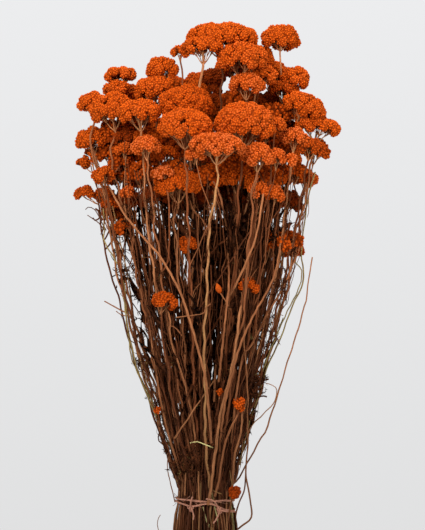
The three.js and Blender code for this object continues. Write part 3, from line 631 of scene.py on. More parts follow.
@functools.cache
def floret_tree():
    """Florets pressed side by side over the domes of a flower head."""
    tree, given, result = tree_of(
        "Florets on a Head",
        "GeometryNodeTree",
        [
            ("Head", "Geometry", None),
            ("Floret", "Object", None),
            ("Spacing", "Float", 0.0026),
            ("Width", "Float", 0.0034),
            ("Tilt", "Float", 0.3),
            ("Seed", "Int", 1),
            ("Floret Material", "Material", None),
            ("Core Material", "Material", None),
        ],
        [("Head", "Geometry")],
    )
    inputs = {
        "Mesh": given["Head"],
        "Distance Min": given["Spacing"],
        "Density Max": 700000.0,
        "Density Factor": point_value(tree, "bloom"),
        "Seed": given["Seed"],
    }
    kind = "GeometryNodeDistributePointsOnFaces"
    spread = node_in(tree, kind, inputs, distribute_method="POISSON")
    floret = node_in(tree, "GeometryNodeObjectInfo", {"Object": given["Floret"]})
    tilt = given["Tilt"]
    back = calculated(tree, "MULTIPLY", tilt, -1.0)
    lowest = combined(tree, back, back, 0.0)
    highest = combined(tree, tilt, tilt, 2 * math.pi)
    turn = random_value(tree, "FLOAT_VECTOR", lowest, highest, given["Seed"])
    spin = node_in(tree, "FunctionNodeEulerToRotation", {"Euler": turn})
    inputs = {"Rotation": spread.outputs["Rotation"], "Rotate By": spin.outputs["Rotation"]}
    aimed = node_in(tree, "FunctionNodeRotateRotation", inputs, rotation_space="LOCAL")
    size = random_value(tree, "FLOAT", 0.78, 1.22, given["Seed"])
    inputs = {
        "Points": spread.outputs["Points"],
        "Instance": floret.outputs["Geometry"],
        "Rotation": aimed.outputs["Rotation"],
        "Scale": calculated(tree, "MULTIPLY", size, given["Width"]),
    }
    placed = node_in(tree, "GeometryNodeInstanceOnPoints", inputs).outputs["Instances"]
    tone = random_value(tree, "FLOAT", 0.0, 1.0, TONE_SEED)
    toned = with_value(tree, placed, "tone", tone, "FLOAT", "INSTANCE")
    florets = finished(tree, toned, given["Floret Material"])
    core = in_material(tree, given["Head"], given["Core Material"])
    whole = node_in(tree, "GeometryNodeJoinGeometry")
    tree.links.new(core, whole.inputs[0])
    tree.links.new(florets, whole.inputs[0])
    tree.links.new(whole.outputs[0], result["Head"])
    return tree


@functools.cache
def scatter_tree():
    """One of several small shapes on each point, turned and sized as the point says."""
    tree, given, result = tree_of(
        "Dry Leaves on Points",
        "GeometryNodeTree",
        [
            ("Points", "Geometry", None),
            ("Leaves", "Collection", None),
            ("Seed", "Int", 1),
            ("Material", "Material", None),
        ],
        [("Leaves", "Geometry")],
    )
    inputs = {"Collection": given["Leaves"], "Separate Children": True, "Reset Children": True}
    shapes = node_in(tree, "GeometryNodeCollectionInfo", inputs)
    turn = point_value(tree, "turn", "FLOAT_VECTOR")
    aimed = node_in(tree, "FunctionNodeEulerToRotation", {"Euler": turn})
    inputs = {"Mesh": given["Points"]}
    cloud = node_in(tree, "GeometryNodeMeshToPoints", inputs, mode="VERTICES")
    inputs = {
        "Points": cloud.outputs["Points"],
        "Instance": shapes.outputs[0],
        "Pick Instance": True,
        "Instance Index": random_value(tree, "INT", 0, 1000, given["Seed"]),
        "Rotation": aimed.outputs["Rotation"],
        "Scale": point_value(tree, "size"),
    }
    placed = node_in(tree, "GeometryNodeInstanceOnPoints", inputs).outputs["Instances"]
    tree.links.new(finished(tree, placed, given["Material"]), result["Leaves"])
    return tree


# Lines that the stems follow


def run_along(path):
    """How far along a path each of its points is."""
    return np.concatenate([[0], np.cumsum(np.linalg.norm(np.diff(path, axis=0), axis=1))])


def smooth_path(points, step):
    """Points every step along a smooth curve through the given ones."""
    points = np.asarray(points, float)
    ends = np.vstack([2 * points[0] - points[1], points, 2 * points[-1] - points[-2]])
    share = np.linspace(0, 1, 10, endpoint=False)[:, None]
    parts = []
    for a, b, c, d in zip(ends, ends[1:], ends[2:], ends[3:]):
        bend = (2 * a - 5 * b + 4 * c - d) * share**2
        twist = (3 * b - a - 3 * c + d) * share**3
        parts.append(0.5 * (2 * b + (c - a) * share + bend + twist))
    fine = np.vstack([*parts, points[-1:]])
    along = run_along(fine)
    stops = np.linspace(0, along[-1], max(2, round(along[-1] / step) + 1))
    return np.column_stack([np.interp(stops, along, fine[:, axis]) for axis in range(3)])


def wavy(path, size, wave, chance):
    """The path with slight bends sideways that leave its two ends where they are."""
    along = run_along(path)
    hold = np.minimum(1, np.minimum(along, along[-1] - along) / (0.5 * wave))[:, None]
    bend = np.zeros_like(path)
    for length in (0.55 * wave, wave, 1.9 * wave):
        phase = chance.uniform(0, 2 * np.pi, 3)
        bend += chance.normal(0, 1, 3) * np.sin(2 * np.pi * along[:, None] / length + phase)
    return path + size * 0.5 * hold * bend


def knotted(count, radius, chance, ends=(1.1, 0.7)):
    """Radii along a stem that tapers and swells a little at its joints."""
    share = np.linspace(0, 1, count)
    joints = 1 + 0.09 * np.sin(share * chance.uniform(18, 34) + chance.uniform(0, 6)) ** 9
    return radius * (ends[0] + (ends[1] - ends[0]) * share) * joints


def tubes(name, lines, sides, material):
    """One plain mesh of round stems: each line is its points, its radii and its tone.
    The length along each stem starts elsewhere, so that no two have the same streaks."""
    points, edges, radius, tone, along = [], [], [], [], []
    for number, (path, radii, shade) in enumerate(lines):
        first = len(points)
        points.extend(path)
        edges.extend((first + index, first + index + 1) for index in range(len(path) - 1))
        radius.extend(np.broadcast_to(radii, len(path)))
        tone.extend([shade] * len(path))
        along.extend(run_along(path) + 0.37 * number)
    piece = mesh_piece(name, points, edges, radius=radius, tone=tone, along=along)
    return made_real(piece, tube_tree(), {"Sides": sides, "Material": material})


def solid_triangles(node):
    """The merged corners of a solid and its triangles."""
    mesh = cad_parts[node].data
    mesh.calc_loop_triangles()
    corners = np.empty(3 * len(mesh.vertices), np.float32)
    mesh.vertices.foreach_get("co", corners)
    triangles = np.empty(3 * len(mesh.loop_triangles), np.int32)
    mesh.loop_triangles.foreach_get("vertices", triangles)
    keys, merged = np.unique(np.round(corners.reshape(-1, 3) * 1e5), axis=0, return_inverse=True)
    return keys * 1e-5, merged.ravel()[triangles].reshape(-1, 3)


def rings_at(corners, triangles, height):
    """x, y and radius of each closed ring where a level plane cuts the solid.
    Rings with next to no area for their length are left out."""
    above = corners[:, 2] > height
    cut = triangles[above[triangles].any(1) & ~above[triangles].all(1)]
    owner = {}

    def root(edge):
        while owner.setdefault(edge, edge) != edge:
            edge = owner[edge]
        return edge

    pieces = []
    for a, b, c in cut:
        ends = []
        for i, j in ((a, b), (b, c), (c, a)):
            if above[i] != above[j]:
                share = (height - corners[i, 2]) / (corners[j, 2] - corners[i, 2])
                place = corners[i] + share * (corners[j] - corners[i])
                ends.append(((min(i, j), max(i, j)), place))
        (first, start), (second, end) = ends
        owner[root(first)] = root(second)
        outward = np.cross(corners[b] - corners[a], corners[c] - corners[a])[:2]
        size = np.linalg.norm(outward)
        length = np.linalg.norm(end - start)
        if size > 0 and length > 0:
            middle = (start + end)[:2] / 2
            pieces.append((first, middle, length, middle @ outward / size * length / 2))
    rings = {}
    for edge, middle, length, area in pieces:
        ring = rings.setdefault(root(edge), [np.zeros(2), 0.0, 0.0])
        ring[0] += middle * length
        ring[1] += length
        ring[2] += area
    return [
        (*(total / length), math.sqrt(abs(area) / math.pi))
        for total, length, area in rings.values()
        if abs(area) > 0.02 * length**2
    ]


def led_on(stem, height):
    """x and y where a traced stem comes to a height when it runs straight on."""
    last = np.array(stem[-1][:3])
    slope = np.zeros(2)
    if len(stem) > 1:
        before = np.array(stem[-2][:3])
        slope = (last - before)[:2] / (last - before)[2]
    return last[:2] + slope * (height - last[2])


@functools.cache
def traced_stems(node):
    """The stems of one spray, each followed down from its top: x, y, z and radius.
    A stem ends where it swells into the next one, and may be lost for a few slices."""
    corners, triangles = solid_triangles(node)
    growing, done = [], []
    for height in np.arange(corners[:, 2].max() - FIRST_SLICE, TRACE_END, -SLICE):
        rings = rings_at(corners, triangles, height)
        guesses = [led_on(stem, height) for stem in growing]
        pairs = sorted(
            (math.dist(guess, ring[:2]), i, j)
            for i, guess in enumerate(guesses)
            for j, ring in enumerate(rings)
        )
        taken, used = {}, set()
        for distance, i, j in pairs:
            if distance < DRIFT and i not in taken and j not in used:
                taken[i] = j
                used.add(j)
        kept = []
        for i, stem in enumerate(growing):
            usual = np.median([point[3] for point in stem])
            if i in taken:
                x, y, radius = rings[taken[i]]
                if height < LONG_BELOW and len(stem) > 8 and radius > 1.3 * usual:
                    done.append(stem)
                    continue
                stem.append((x, y, height, radius))
                kept.append(stem)
            elif stem[-1][2] - height < 4.5 * SLICE and height > 250 * MM:
                kept.append(stem)
            else:
                done.append(stem)
        fresh = [ring for j, ring in enumerate(rings) if j not in used]
        growing = kept + [[(x, y, height, radius)] for x, y, radius in fresh]
    return [np.array(stem) for stem in done + growing if stem[0][2] - stem[-1][2] > SHORTEST_TRACE]


def across_at(path, heights):
    """x and y of a rising path at the heights."""
    return np.column_stack([np.interp(heights, path[:, 2], path[:, axis]) for axis in (0, 1)])


def at_height(stem, height):
    """Where a traced stem is at a height."""
    return np.append(across_at(stem[::-1], height), height)


def down_to_foot(stem):
    """Carries a traced stem straight on through the tie to the floor of the vase."""
    low = stem[-1][2]
    part = stem[stem[:, 2] < low + 60 * MM]
    if len(part) < 3:
        part = stem[-3:]
    slope = np.array([np.polyfit(part[:, 2], part[:, axis], 1)[0] for axis in (0, 1)])
    tie = stem[-1][:2] + slope * (TIE_HEIGHT - low)
    reach = np.linalg.norm(tie)
    if reach > TIE_RADIUS:
        tie *= TIE_RADIUS / reach
    return [
        (*tie, TIE_HEIGHT),
        (*(1.1 * tie), 0.6 * TIE_HEIGHT),
        (*(FOOT_SPREAD * tie), VASE_FLOOR),
    ]


def edges_at(heights):
    """x of the left and of the right edge of the bunch at the heights."""
    level, left, right = np.array(EDGES).T * MM
    return np.interp(heights, level, left), np.interp(heights, level, right)


def drawn_in(path):
    """The path, pulled in where it leaves the edges of the bunch."""
    inside = np.clip(path[:, 0], *edges_at(path[:, 2]))
    result = path.copy()
    result[:, 0] = inside + 0.2 * (path[:, 0] - inside)
    return result


def bent(path, key):
    """The path, led through the places that its head's stem has in the table of bends."""
    if key not in STEM_BENDS:
        return path
    across, heights = np.array(STEM_BENDS[key][::-1]).T * MM
    result = path.copy()
    wanted = np.interp(path[:, 2], heights, across)
    hold = np.clip((path[:, 2] - heights[0]) / (60 * MM), 0, 1)
    result[:, 0] += hold * (wanted - path[:, 0])
    result[-2:, 0] = path[-2:, 0]
    return result


def fork_under(cushion):
    """Where a cushion's stem forks, and a place just inside the cushion above it."""
    foot, up = cushion_frame(cushion)
    return np.array(foot - up * fork_height(cushion)), np.array(foot + up * 3 * MM)


def head_forks():
    """Where each cushion's stem forks, by its head and its cushion, counted from 1."""
    return {
        (number, place): fork_under(cushion)
        for number, row in enumerate(HEADS, 1)
        for place, cushion in enumerate(row, 1)
    }


def matched_heads(stems, forks):
    """Which cushion each traced stem carries: the nearest pairs first, one for each."""
    pairs = []
    for index, (_, stem) in enumerate(stems):
        catch = LONG_CATCH if stem[-1][2] < LONG_BELOW else TWIG_CATCH
        for key, (fork, _) in forks.items():
            top = at_height(stem, min(stem[0][2], fork[2]))
            if stem[-1][2] < fork[2] - 15 * MM and key not in CLEAR_TWIGS:
                distance = math.dist(top, fork)
                if distance < catch:
                    pairs.append((distance, index, key))
    carried, taken = {}, set()
    for _, index, key in sorted(pairs):
        if index not in carried and key not in taken:
            carried[index] = key
            taken.add(key)
    return carried


def joint_below(place, ways, drop):
    """Where on the ways a twig starts that rises steeply to the place from below the drop."""
    best = None
    for way in ways:
        floor = min(240 * MM, place[2] - drop - 40 * MM)
        low = way[(way[:, 2] <= place[2] - drop) & (way[:, 2] > floor)]
        if len(low):
            across = np.hypot(*(low - place)[:, :2].T)
            rise = place[2] - low[:, 2]
            cost = np.hypot(across, rise) + 2 * np.maximum(0, across - 0.7 * rise)
            index = int(cost.argmin())
            if best is None or cost[index] < best[0]:
                best = (cost[index], low[index])
    return best[1]


def twig_to(fork, foot, ways):
    """A side twig from the nearest long stem that rises steeply enough up to a fork."""
    start = joint_below(fork, ways, TWIG_RISE)
    middle = start + 0.5 * (fork - start) - np.array([0, 0, 0.1 * math.dist(start, fork)])
    return np.array([start, middle, fork, foot])


@functools.cache
def stem_lines():
    """Every stem of the solids: spray, whether long, path from its foot up, radius and cushion."""
    sprays = sorted(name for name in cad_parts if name.startswith("stem_spray"))
    stems = [(node, stem) for node in sprays for stem in traced_stems(node)]
    forks = head_forks()
    carried = matched_heads(stems, forks)
    found, ways = [], []
    for index, (node, stem) in enumerate(stems):
        long = stem[-1][2] < LONG_BELOW
        key = carried.get(index)
        if not long and key is None:
            continue
        path = stem[::-1, :3]
        if long:
            path = np.vstack([np.array(down_to_foot(stem))[::-1], path])
        elif ways:
            path = np.vstack([joint_below(path[0], ways, 0), path])
        if key:
            fork, foot = forks[key]
            offset = np.hypot(*(at_height(stem, min(stem[0][2], fork[2])) - fork)[:2])
            path = np.vstack([path[path[:, 2] < fork[2] - 10 * MM - 0.9 * offset], fork, foot])
        if key is None and path[-1][0] > LONE_STEM_REACH:
            key = LONE_STEM
        path = path if key == LONE_STEM else bent(drawn_in(path), key)
        if long:
            ways.append(smooth_path(path, 5 * MM))
        found.append((node, long, path, float(np.median(stem[:, 3])), key))
    for key in forks:
        if key not in carried.values():
            fork, foot = forks[key]
            near = [way for way in ways if way[-1][2] > fork[2] - 120 * MM]
            path = twig_to(fork, foot, near)
            if key in CLEAR_TWIGS:
                places = np.array(CLEAR_TWIGS[key]) * MM
                path = np.vstack([joint_below(places[0], ways, 10 * MM), places, fork, foot])
            found.append((sprays[0], False, path, 0.9 * MM, key))
    return found


@functools.cache
def long_paths():
    """The long stems that stand together in the bunch."""
    return [path for _, long, path, _, key in stem_lines() if long and key != LONE_STEM]


@functools.cache
def inner_lines():
    """The twig that carries each smaller head in between."""
    ways = [smooth_path(path, 5 * MM) for path in long_paths()]
    return [twig_to(*fork_under(cushion), ways) for _, cushion in INNER_HEADS]


@functools.cache
def stem_cloud():
    """Points along all the long stems, to find what stands where."""
    return np.vstack([smooth_path(path, 5 * MM) for path in long_paths()])


def depth_at(x, z, depth):
    """y of a place among the stems: just in front of them at depth 1, behind them at -1."""
    cloud = stem_cloud()
    near = cloud[(abs(cloud[:, 2] - z) < 5 * MM) & (abs(cloud[:, 0] - x) < 8 * MM)]
    if len(near) < 1:
        return None
    front, back = near[:, 1].min() - 4 * MM, near[:, 1].max() + 4 * MM
    return (front + back) / 2 - depth * (back - front) / 2


def single_path(depth, places):
    """The path in space of a single stem that is given from the front. Its depth is evened out
    along it, it lies on the tie's turns below their top, and a long one sinks in at its ends."""
    flat = smooth_path([(x * MM, 0, z * MM) for x, z in places], 4 * MM)
    seen = np.array([depth_at(x, z, depth) if z > TIE_TOP else np.nan for x, _, z in flat], float)
    known = ~np.isnan(seen)
    rim = np.sqrt(np.maximum(0, (TIE_RADIUS + 0.5 * MM) ** 2 - flat[:, 0] ** 2))
    if known.any():
        seen = np.interp(np.arange(len(flat)), np.flatnonzero(known), seen[known])
    else:
        seen = -depth * rim
    tied = flat[:, 2] <= TIE_TOP
    seen[tied] = -depth * rim[tied]
    padded = np.pad(seen, 9, mode="edge")
    flat[:, 1] = np.convolve(padded, np.ones(19) / 19, mode="valid")
    if depth > 0.5 and places[0][1] - places[-1][1] > 90:
        top = np.clip((flat[:, 2] - flat[0, 2] + 0.6 * SINKING) / (0.6 * SINKING), 0, 1)
        flat[:, 1] += 0.24 * SINKING * top**2
        if flat[-1, 2] > TIE_HEIGHT + 6 * MM:
            low = np.clip((flat[-1, 2] + SINKING - flat[:, 2]) / SINKING, 0, 1)
            flat[:, 1] += 0.34 * SINKING * low**2
    return flat


# Flower heads


def cushion_frame(cushion):
    """The foot of a cushion and the direction its dome points in, in metres."""
    x, y, z, _, height = cushion[:5]
    lean = math.radians(cushion[5]) if len(cushion) > 5 else 0
    rise = z - LEAN_ROOT
    slope = LEAN_SHARE * x / rise + math.tan(lean)
    up = Vector((slope, LEAN_SHARE * y / rise, 1)).normalized()
    return Vector((x, y, z)) * MM - up * height / 2 * MM, up


def fork_height(cushion):
    """How far below its foot a head's stem forks."""
    return SHORT_FORKS.get(cushion, 3 + 0.13 * cushion[3]) * MM


def inside_dome(points, cushion, share):
    """Which points lie inside a cushion that is shrunk to the given share."""
    foot, up = cushion_frame(cushion)
    middle = np.array(foot + up * cushion[4] / 2 * MM)
    size = np.array([cushion[3], CUSHION_DEPTH * cushion[3], cushion[4]])
    away = (points - middle) / (size / 2 * MM * share)
    return np.linalg.norm(away, axis=1) < 1


def dome_directions(wide, tall, spacing, lowest):
    """Directions spaced evenly over a dome, from its top down to the lowest level."""
    cosine = np.linspace(1, lowest, 400)
    weight = np.sqrt(cosine**2 + (tall / wide) ** 2 * (1 - cosine**2))
    total = np.concatenate([[0], np.cumsum((weight[1:] + weight[:-1]) / 2 * (1 - lowest) / 399)])
    count = max(3, round(2 * np.pi * wide**2 * total[-1] / (0.87 * spacing**2)))
    level = np.interp((np.arange(count) + 0.5) / count * total[-1], total, cosine)
    turn = np.arange(count) * math.pi * (3 - math.sqrt(5))
    flat = np.sqrt(1 - level**2)
    return np.column_stack([flat * np.cos(turn), flat * np.sin(turn), level])


def cushion_buttons(cushion, width, chance):
    """The middle, radius and outward direction of each small round flower of a cushion."""
    radius = width / 2 * (LEAST_BUTTON + (1 - LEAST_BUTTON) * min(1, cushion[3] / 45))
    radius = min(radius, cushion[3] * MM / 3.4, cushion[4] * MM / 2.8)
    wide = cushion[3] * MM / 2 - radius
    rim = RIM_SHARE * cushion[4] * MM
    tall = max(DOME_SHARE * cushion[4] * MM - radius, 0.3 * radius)
    directions = dome_directions(wide, tall, BUTTON_STEP * radius, LOWEST_LEVEL)
    directions += chance.normal(0, 0.2 * radius / wide, directions.shape)
    directions /= np.linalg.norm(directions, axis=1)[:, None]
    around = np.arctan2(directions[:, 1], directions[:, 0])
    first, second = chance.uniform(0, 2 * np.pi, 2)
    swell = 1 + 0.07 * np.sin(2 * around + first) + 0.06 * np.sin(3 * around + second)
    swell = (swell + chance.normal(0, 0.035, len(around)))[:, None]
    middles = directions * [wide, CUSHION_DEPTH * wide, tall] * swell + [0, 0, rim]
    axes = directions / [wide, CUSHION_DEPTH * wide, tall]
    axes /= np.linalg.norm(axes, axis=1)[:, None]
    radii = radius * chance.uniform(0.84, 1.16, len(axes))
    foot, up = cushion_frame(cushion)
    turn = np.array(Vector((0, 0, 1)).rotation_difference(up).to_matrix())
    return middles @ turn.T + np.array(foot), radii, axes @ turn.T


@functools.cache
def head_buttons(number, width):
    """The small round flowers of a head, cushion by cushion, each outside the other cushions.
    Numbers from 0 down are the smaller heads in between."""
    row = HEADS[number - 1] if number > 0 else [INNER_HEADS[-number][1]]
    chance = np.random.default_rng(BUTTON_SEED + number)
    found = []
    for cushion in row:
        middles, radii, axes = cushion_buttons(cushion, width, chance)
        keep = np.ones(len(middles), bool)
        for other in row:
            if other is not cushion:
                keep &= ~inside_dome(middles, other, 0.72)
        found.append((middles[keep], radii[keep], axes[keep]))
    return found


@functools.cache
def ball(rounds):
    """The corners and faces of a ball that is divided this many times."""
    shell = bmesh.new()
    bmesh.ops.create_icosphere(shell, subdivisions=rounds, radius=1)
    corners = np.array([tuple(vert.co) for vert in shell.verts])
    faces = np.array([[vert.index for vert in face.verts] for face in shell.faces])
    shell.free()
    return corners, faces


def button_mesh(middles, radii, axes, rounds):
    """The corners and faces of a head's buttons, and how much of each corner is in bloom."""
    corners, sides = ball(rounds)
    along = corners @ axes.T
    points = corners[None] - 0.14 * along.T[:, :, None] * axes[:, None]
    swell = 1 if rounds > 1 else 1.12
    points = middles[:, None] + swell * radii[:, None, None] * points
    bloom = np.clip((along.T + 0.42) / 0.2, 0, 1)
    apart = np.linalg.norm(points[:, :, None] - middles[None, None], axis=3) / radii
    apart[np.arange(len(middles)), :, np.arange(len(middles))] = 2
    bloom[apart.min(2) < 0.86] = 0
    faces = (sides[None] + len(corners) * np.arange(len(middles))[:, None, None]).reshape(-1, 3)
    return points.reshape(-1, 3), faces, bloom.ravel()


@functools.cache
def floret_shape():
    """One floret: a low five-sided stud, a metre wide."""
    points, tip = [], []
    # The last number is how lit each ring looks: the low ring's small value paints shade at the
    # floret's foot.
    for start, radius, z, shade in ((0, 0.5, -0.14, 0.3), (0.5, 0.34, 0.3, 0.95)):
        points.extend((radius * cosine, radius * sine, z) for cosine, sine in circle(5, start))
        tip.extend([shade] * 5)
    faces = [(4, 3, 2, 1, 0), (5, 6, 7, 8, 9)]
    for corner in range(5):
        after = (corner + 1) % 5
        faces.append((corner, after, 5 + corner))
        faces.append((after, 5 + after, 5 + corner))
    shape = mesh_piece("floret_shape", points, (), faces, tip=tip)
    bpy.context.scene.collection.objects.unlink(shape)
    turned_outwards(shape.data)
    return shape


def bloom_piece(name, numbers, settings, seed, coarse=1.0):
    """One piece of the heads with these numbers: their buttons, covered in florets."""
    chance = np.random.default_rng(FLORET_SEED + seed)
    rounds = 2 if coarse < 1.3 else 1
    points, faces, bloom, shade = [], [], [], []
    for number in numbers:
        # The head's shade value: below 0 it paints shade, above 0 it is dust with painted light.
        pale = HEAD_SHADES.get(number, 0.0) if number > 0 else INNER_HEADS[-number][0]
        groups = head_buttons(number, settings.button_width)
        middles, radii, axes = (np.concatenate(values) for values in zip(*groups))
        corners, sides, open_share = button_mesh(middles, radii, axes, rounds)
        faces.extend((sides + len(points)).tolist())
        points.extend(corners)
        bloom.extend(open_share)
        extra = [CUSHION_SHADES.get((number, place), 0) for place in range(1, len(groups) + 1)]
        own = pale + np.repeat(extra, [len(group[0]) for group in groups])
        own = own + chance.uniform(-0.14, 0.1, len(middles))
        shade.extend(np.repeat(own, len(ball(rounds)[0])))
    piece = mesh_piece(name, points, (), faces, bloom=bloom, shade=shade)
    turned_outwards(piece.data)
    values = {
        "Floret": floret_shape(),
        "Spacing": settings.floret_spacing * coarse,
        "Width": settings.floret_width * coarse,
        "Tilt": 0.3,
        "Seed": seed,
        "Floret Material": floret_material(settings),
        "Core Material": core_material(settings),
    }
    return made_real(piece, floret_tree(), values)


def make_heads(settings):
    """Every flower head, and the smaller ones in between."""
    for number in range(1, len(HEADS) + 1):
        coarse = 1.0 if number < FIRST_BACK_HEAD else FAR_SIDE_COARSENESS
        piece = bloom_piece(f"florets_{number:02d}", [number], settings, number, coarse)
        add_part(piece, "floret", f"flower_head_{number:02d}")
    front = [-index for index, (pale, _) in enumerate(INNER_HEADS) if pale > FRONT_SHADE]
    inner = [-index for index, (pale, _) in enumerate(INNER_HEADS) if pale <= FRONT_SHADE]
    add_part(bloom_piece("front_florets", front, settings, FRONT_HEADS_SEED), "floret")
    piece = bloom_piece("inner_florets", inner, settings, INNER_HEADS_SEED, INNER_COARSENESS)
    add_part(piece, "floret")


def branch_lines(fork, up, buttons, chance):
    """The branches from a fork to the underside of each button of its cushion."""
    middles, radii, axes = buttons
    lines = []
    if not len(middles):
        return lines
    ends = middles - axes * radii[:, None] * 0.7
    count = max(1, min(7, round(len(ends) / 4)))
    seeds = ends[chance.choice(len(ends), count, replace=False)]
    for _ in range(4):
        group = np.linalg.norm(ends[:, None] - seeds[None], axis=2).argmin(1)
        for index in np.unique(group):
            seeds[index] = ends[group == index].mean(0)
    spread = np.linalg.norm(ends - fork, axis=1).max()
    for index, seed in enumerate(seeds):
        own = ends[group == index]
        if not len(own):
            continue
        low = own[own[:, 2].argmin()]
        split = fork + 0.52 * (0.5 * (seed + low) - fork) - up * 0.06 * spread
        share = np.array([[0.35], [0.7]])
        bow = split * share + fork * (1 - share) - up * 0.03 * spread
        radius = (0.42 + 0.05 * math.sqrt(len(own)) + 0.004 * len(ends)) * MM
        line = smooth_path(np.vstack([fork, bow, split]), 5 * MM)
        lines.append((line, np.linspace(1.15, 0.85, len(line)) * radius, chance.uniform(0.6, 0.8)))
        for end in own:
            middle = 0.5 * (split + end) - up * 0.1 * math.dist(split, end)
            line = np.array([split, middle, end])
            lines.append((line, np.array([0.8, 0.7, 0.75]) * 0.55 * MM, chance.uniform(0.55, 0.8)))
    return lines


# Stems, twigs and leaves


def make_stems(settings):
    """The stems of each spray, with painted shade that darkens them on the far side, and the thin
    branches under the heads.
    """
    finish = stem_material(settings)
    chance = np.random.default_rng(STEM_SEED)
    sprays, forks = {}, {}
    for node, long, path, radius, key in stem_lines():
        wave = 1.5 if long and key != LONE_STEM else 0.6
        line = wavy(smooth_path(path, 8 * MM), wave * MM, 55 * MM, chance)
        radius = max(radius, THINNEST_STEM) if long else radius
        tone = chance.uniform(0.14, 0.5)
        if key:
            forks[key] = path[-2]
            tone = STEM_TONES.get(key, tone)
        # Painted shade: stems on the far side of the bunch get a darker tone.
        if path[:, 1].mean() > 10 * MM:
            tone *= 0.6
        radii = knotted(len(line), radius * 1.04, chance) if long else radius * 1.05
        sprays.setdefault(node, []).append((line, radii, tone))
    for number, node in enumerate(sorted(sprays), 1):
        add_part(tubes(f"stems_{number:02d}", sprays[node], 7, finish), "stem", node)
    branches = []
    for number, row in enumerate(HEADS, 1):
        groups = head_buttons(number, settings.button_width)
        for place, (cushion, buttons) in enumerate(zip(row, groups), 1):
            up = np.array(cushion_frame(cushion)[1])
            branches.extend(branch_lines(forks[(number, place)], up, buttons, chance))
    for index, ((_, cushion), path) in enumerate(zip(INNER_HEADS, inner_lines())):
        branches.append((smooth_path(path, 10 * MM), 0.8 * MM, 0.2))
        buttons = head_buttons(-index, settings.button_width)[0]
        up = np.array(cushion_frame(cushion)[1])
        branches.extend(branch_lines(path[-2], up, buttons, chance))
    add_part(tubes("head_branches", branches, 4, finish), "stem")


@functools.cache
def filler_lines(count):
    """Thin dark stems that run between the others and end among them, every third one at a side."""
    chance = np.random.default_rng(FILLER_SEED)
    stems = long_paths()
    outer = [path for path in stems if abs(np.interp(420 * MM, path[:, 2], path[:, 0])) > 35 * MM]
    lines = []
    while len(lines) < count:
        pool = stems if len(lines) % 3 else outer
        first, second = (pool[index] for index in chance.choice(len(pool), 2, replace=False))
        top = chance.uniform(0.3, 0.52) if chance.random() < 0.25 else chance.uniform(0.5, 0.62)
        top = min(top, first[-1][2] - 20 * MM, second[-1][2] - 20 * MM)
        heights = np.append(np.arange(VASE_FLOOR, top, 30 * MM), top)
        share = chance.uniform(0.1, 0.9)
        start, end = across_at(first, heights), across_at(second, heights)
        if np.linalg.norm(start[-1] - end[-1]) > 100 * MM:
            continue
        path = np.column_stack([start + share * (end - start), heights])
        if not clear_of_edges(path):
            continue
        radius = chance.uniform(0.5, 1.15) * MM
        line = wavy(smooth_path(path, 18 * MM), 2.8 * MM, 80 * MM, chance)
        radii = knotted(len(line), radius, chance, (1.1, 0.5))
        lines.append((line, radii, chance.uniform(0.02, 0.42)))
    return lines


def clear_of_edges(points):
    """Whether a line keeps out of the bunch's left and right edges, where single stems stand."""
    points = points[points[:, 2] > OPEN_FROM]
    left, right = edges_at(points[:, 2])
    reach = np.where(points[:, 0] < 0, left * FILLED_LEFT, right * FILLED_RIGHT)
    return (points[:, 0] / reach < 1).all()


def foot_lines(count):
    """Cut ends that flare out under the tie and stand in the mouth of the vase."""
    chance = np.random.default_rng(FOOT_SEED)
    lines = []
    for number in range(count):
        angle = 2 * math.pi * (number + chance.uniform(-0.5, 0.5)) / count
        out = np.array([math.cos(angle), math.sin(angle), 0]) * MM
        side = np.array([-math.sin(angle), math.cos(angle), 0]) * MM * chance.normal(0, 2)
        flare = chance.uniform(0, 1)
        radii = (28.5, 29.2, 30.6 + flare, 32 + 3 * flare, 33 + 6 * flare)
        levels = (226, TIE_HEIGHT / MM, 192, 172, chance.uniform(60, 110))
        path = [
            radius * out + step * side + [0, 0, z * MM]
            for step, (radius, z) in enumerate(zip(radii, levels))
        ]
        tone = chance.uniform(0.6, 0.98) if chance.random() < 0.24 else chance.uniform(0.05, 0.4)
        line = smooth_path(path, 13 * MM)
        radii = knotted(len(line), chance.uniform(0.55, 1.15) * MM, chance, (0.8, 1.1))
        lines.append((line, radii, tone))
    return lines


def thread_lines(count):
    """Fine side threads that lie along the outer stems and curl a little away from them."""
    chance = np.random.default_rng(THREAD_SEED)
    cloud = stem_cloud()
    likely = np.interp(cloud[:, 2], [0.2, 0.24, 0.5, 0.56, 0.62], [0, 1, 1, 0.6, 0])
    likely *= np.clip(outwardness(cloud), 0, 1) ** 2 * np.where(cloud[:, 1] < 0, 1.2, 0.7)
    lines = []
    while len(lines) < count:
        base = cloud[chance.choice(len(cloud), p=likely / likely.sum())]
        base = base + chance.normal(0, 1.2 * MM, 3)
        out = np.array([base[0], base[1], 0])
        out *= 1 / max(np.linalg.norm(out), 1 * MM)
        side = np.array([-out[1], out[0], 0]) * chance.normal(0, 0.18)
        length = chance.uniform(14, 38) * MM
        lift = chance.uniform(0.04, 0.15)
        way = (np.array([0, 0, 1.0]) + 0.2 * out) * (1 if chance.random() < 0.7 else -1)
        places = [
            base,
            base + length * (0.35 * way + 0.5 * lift * out + 0.2 * side),
            base + length * (0.7 * way + lift * out + 0.5 * side),
            base + length * (0.95 * way + 0.8 * lift * out + side),
        ]
        line = smooth_path(places, length / 5)
        if outwardness(line).max() < 1.04:
            radii = np.linspace(0.42, 0.24, len(line)) * MM * chance.uniform(0.8, 1.3)
            lines.append((line, radii, chance.uniform(0.2, 0.66)))
    return lines


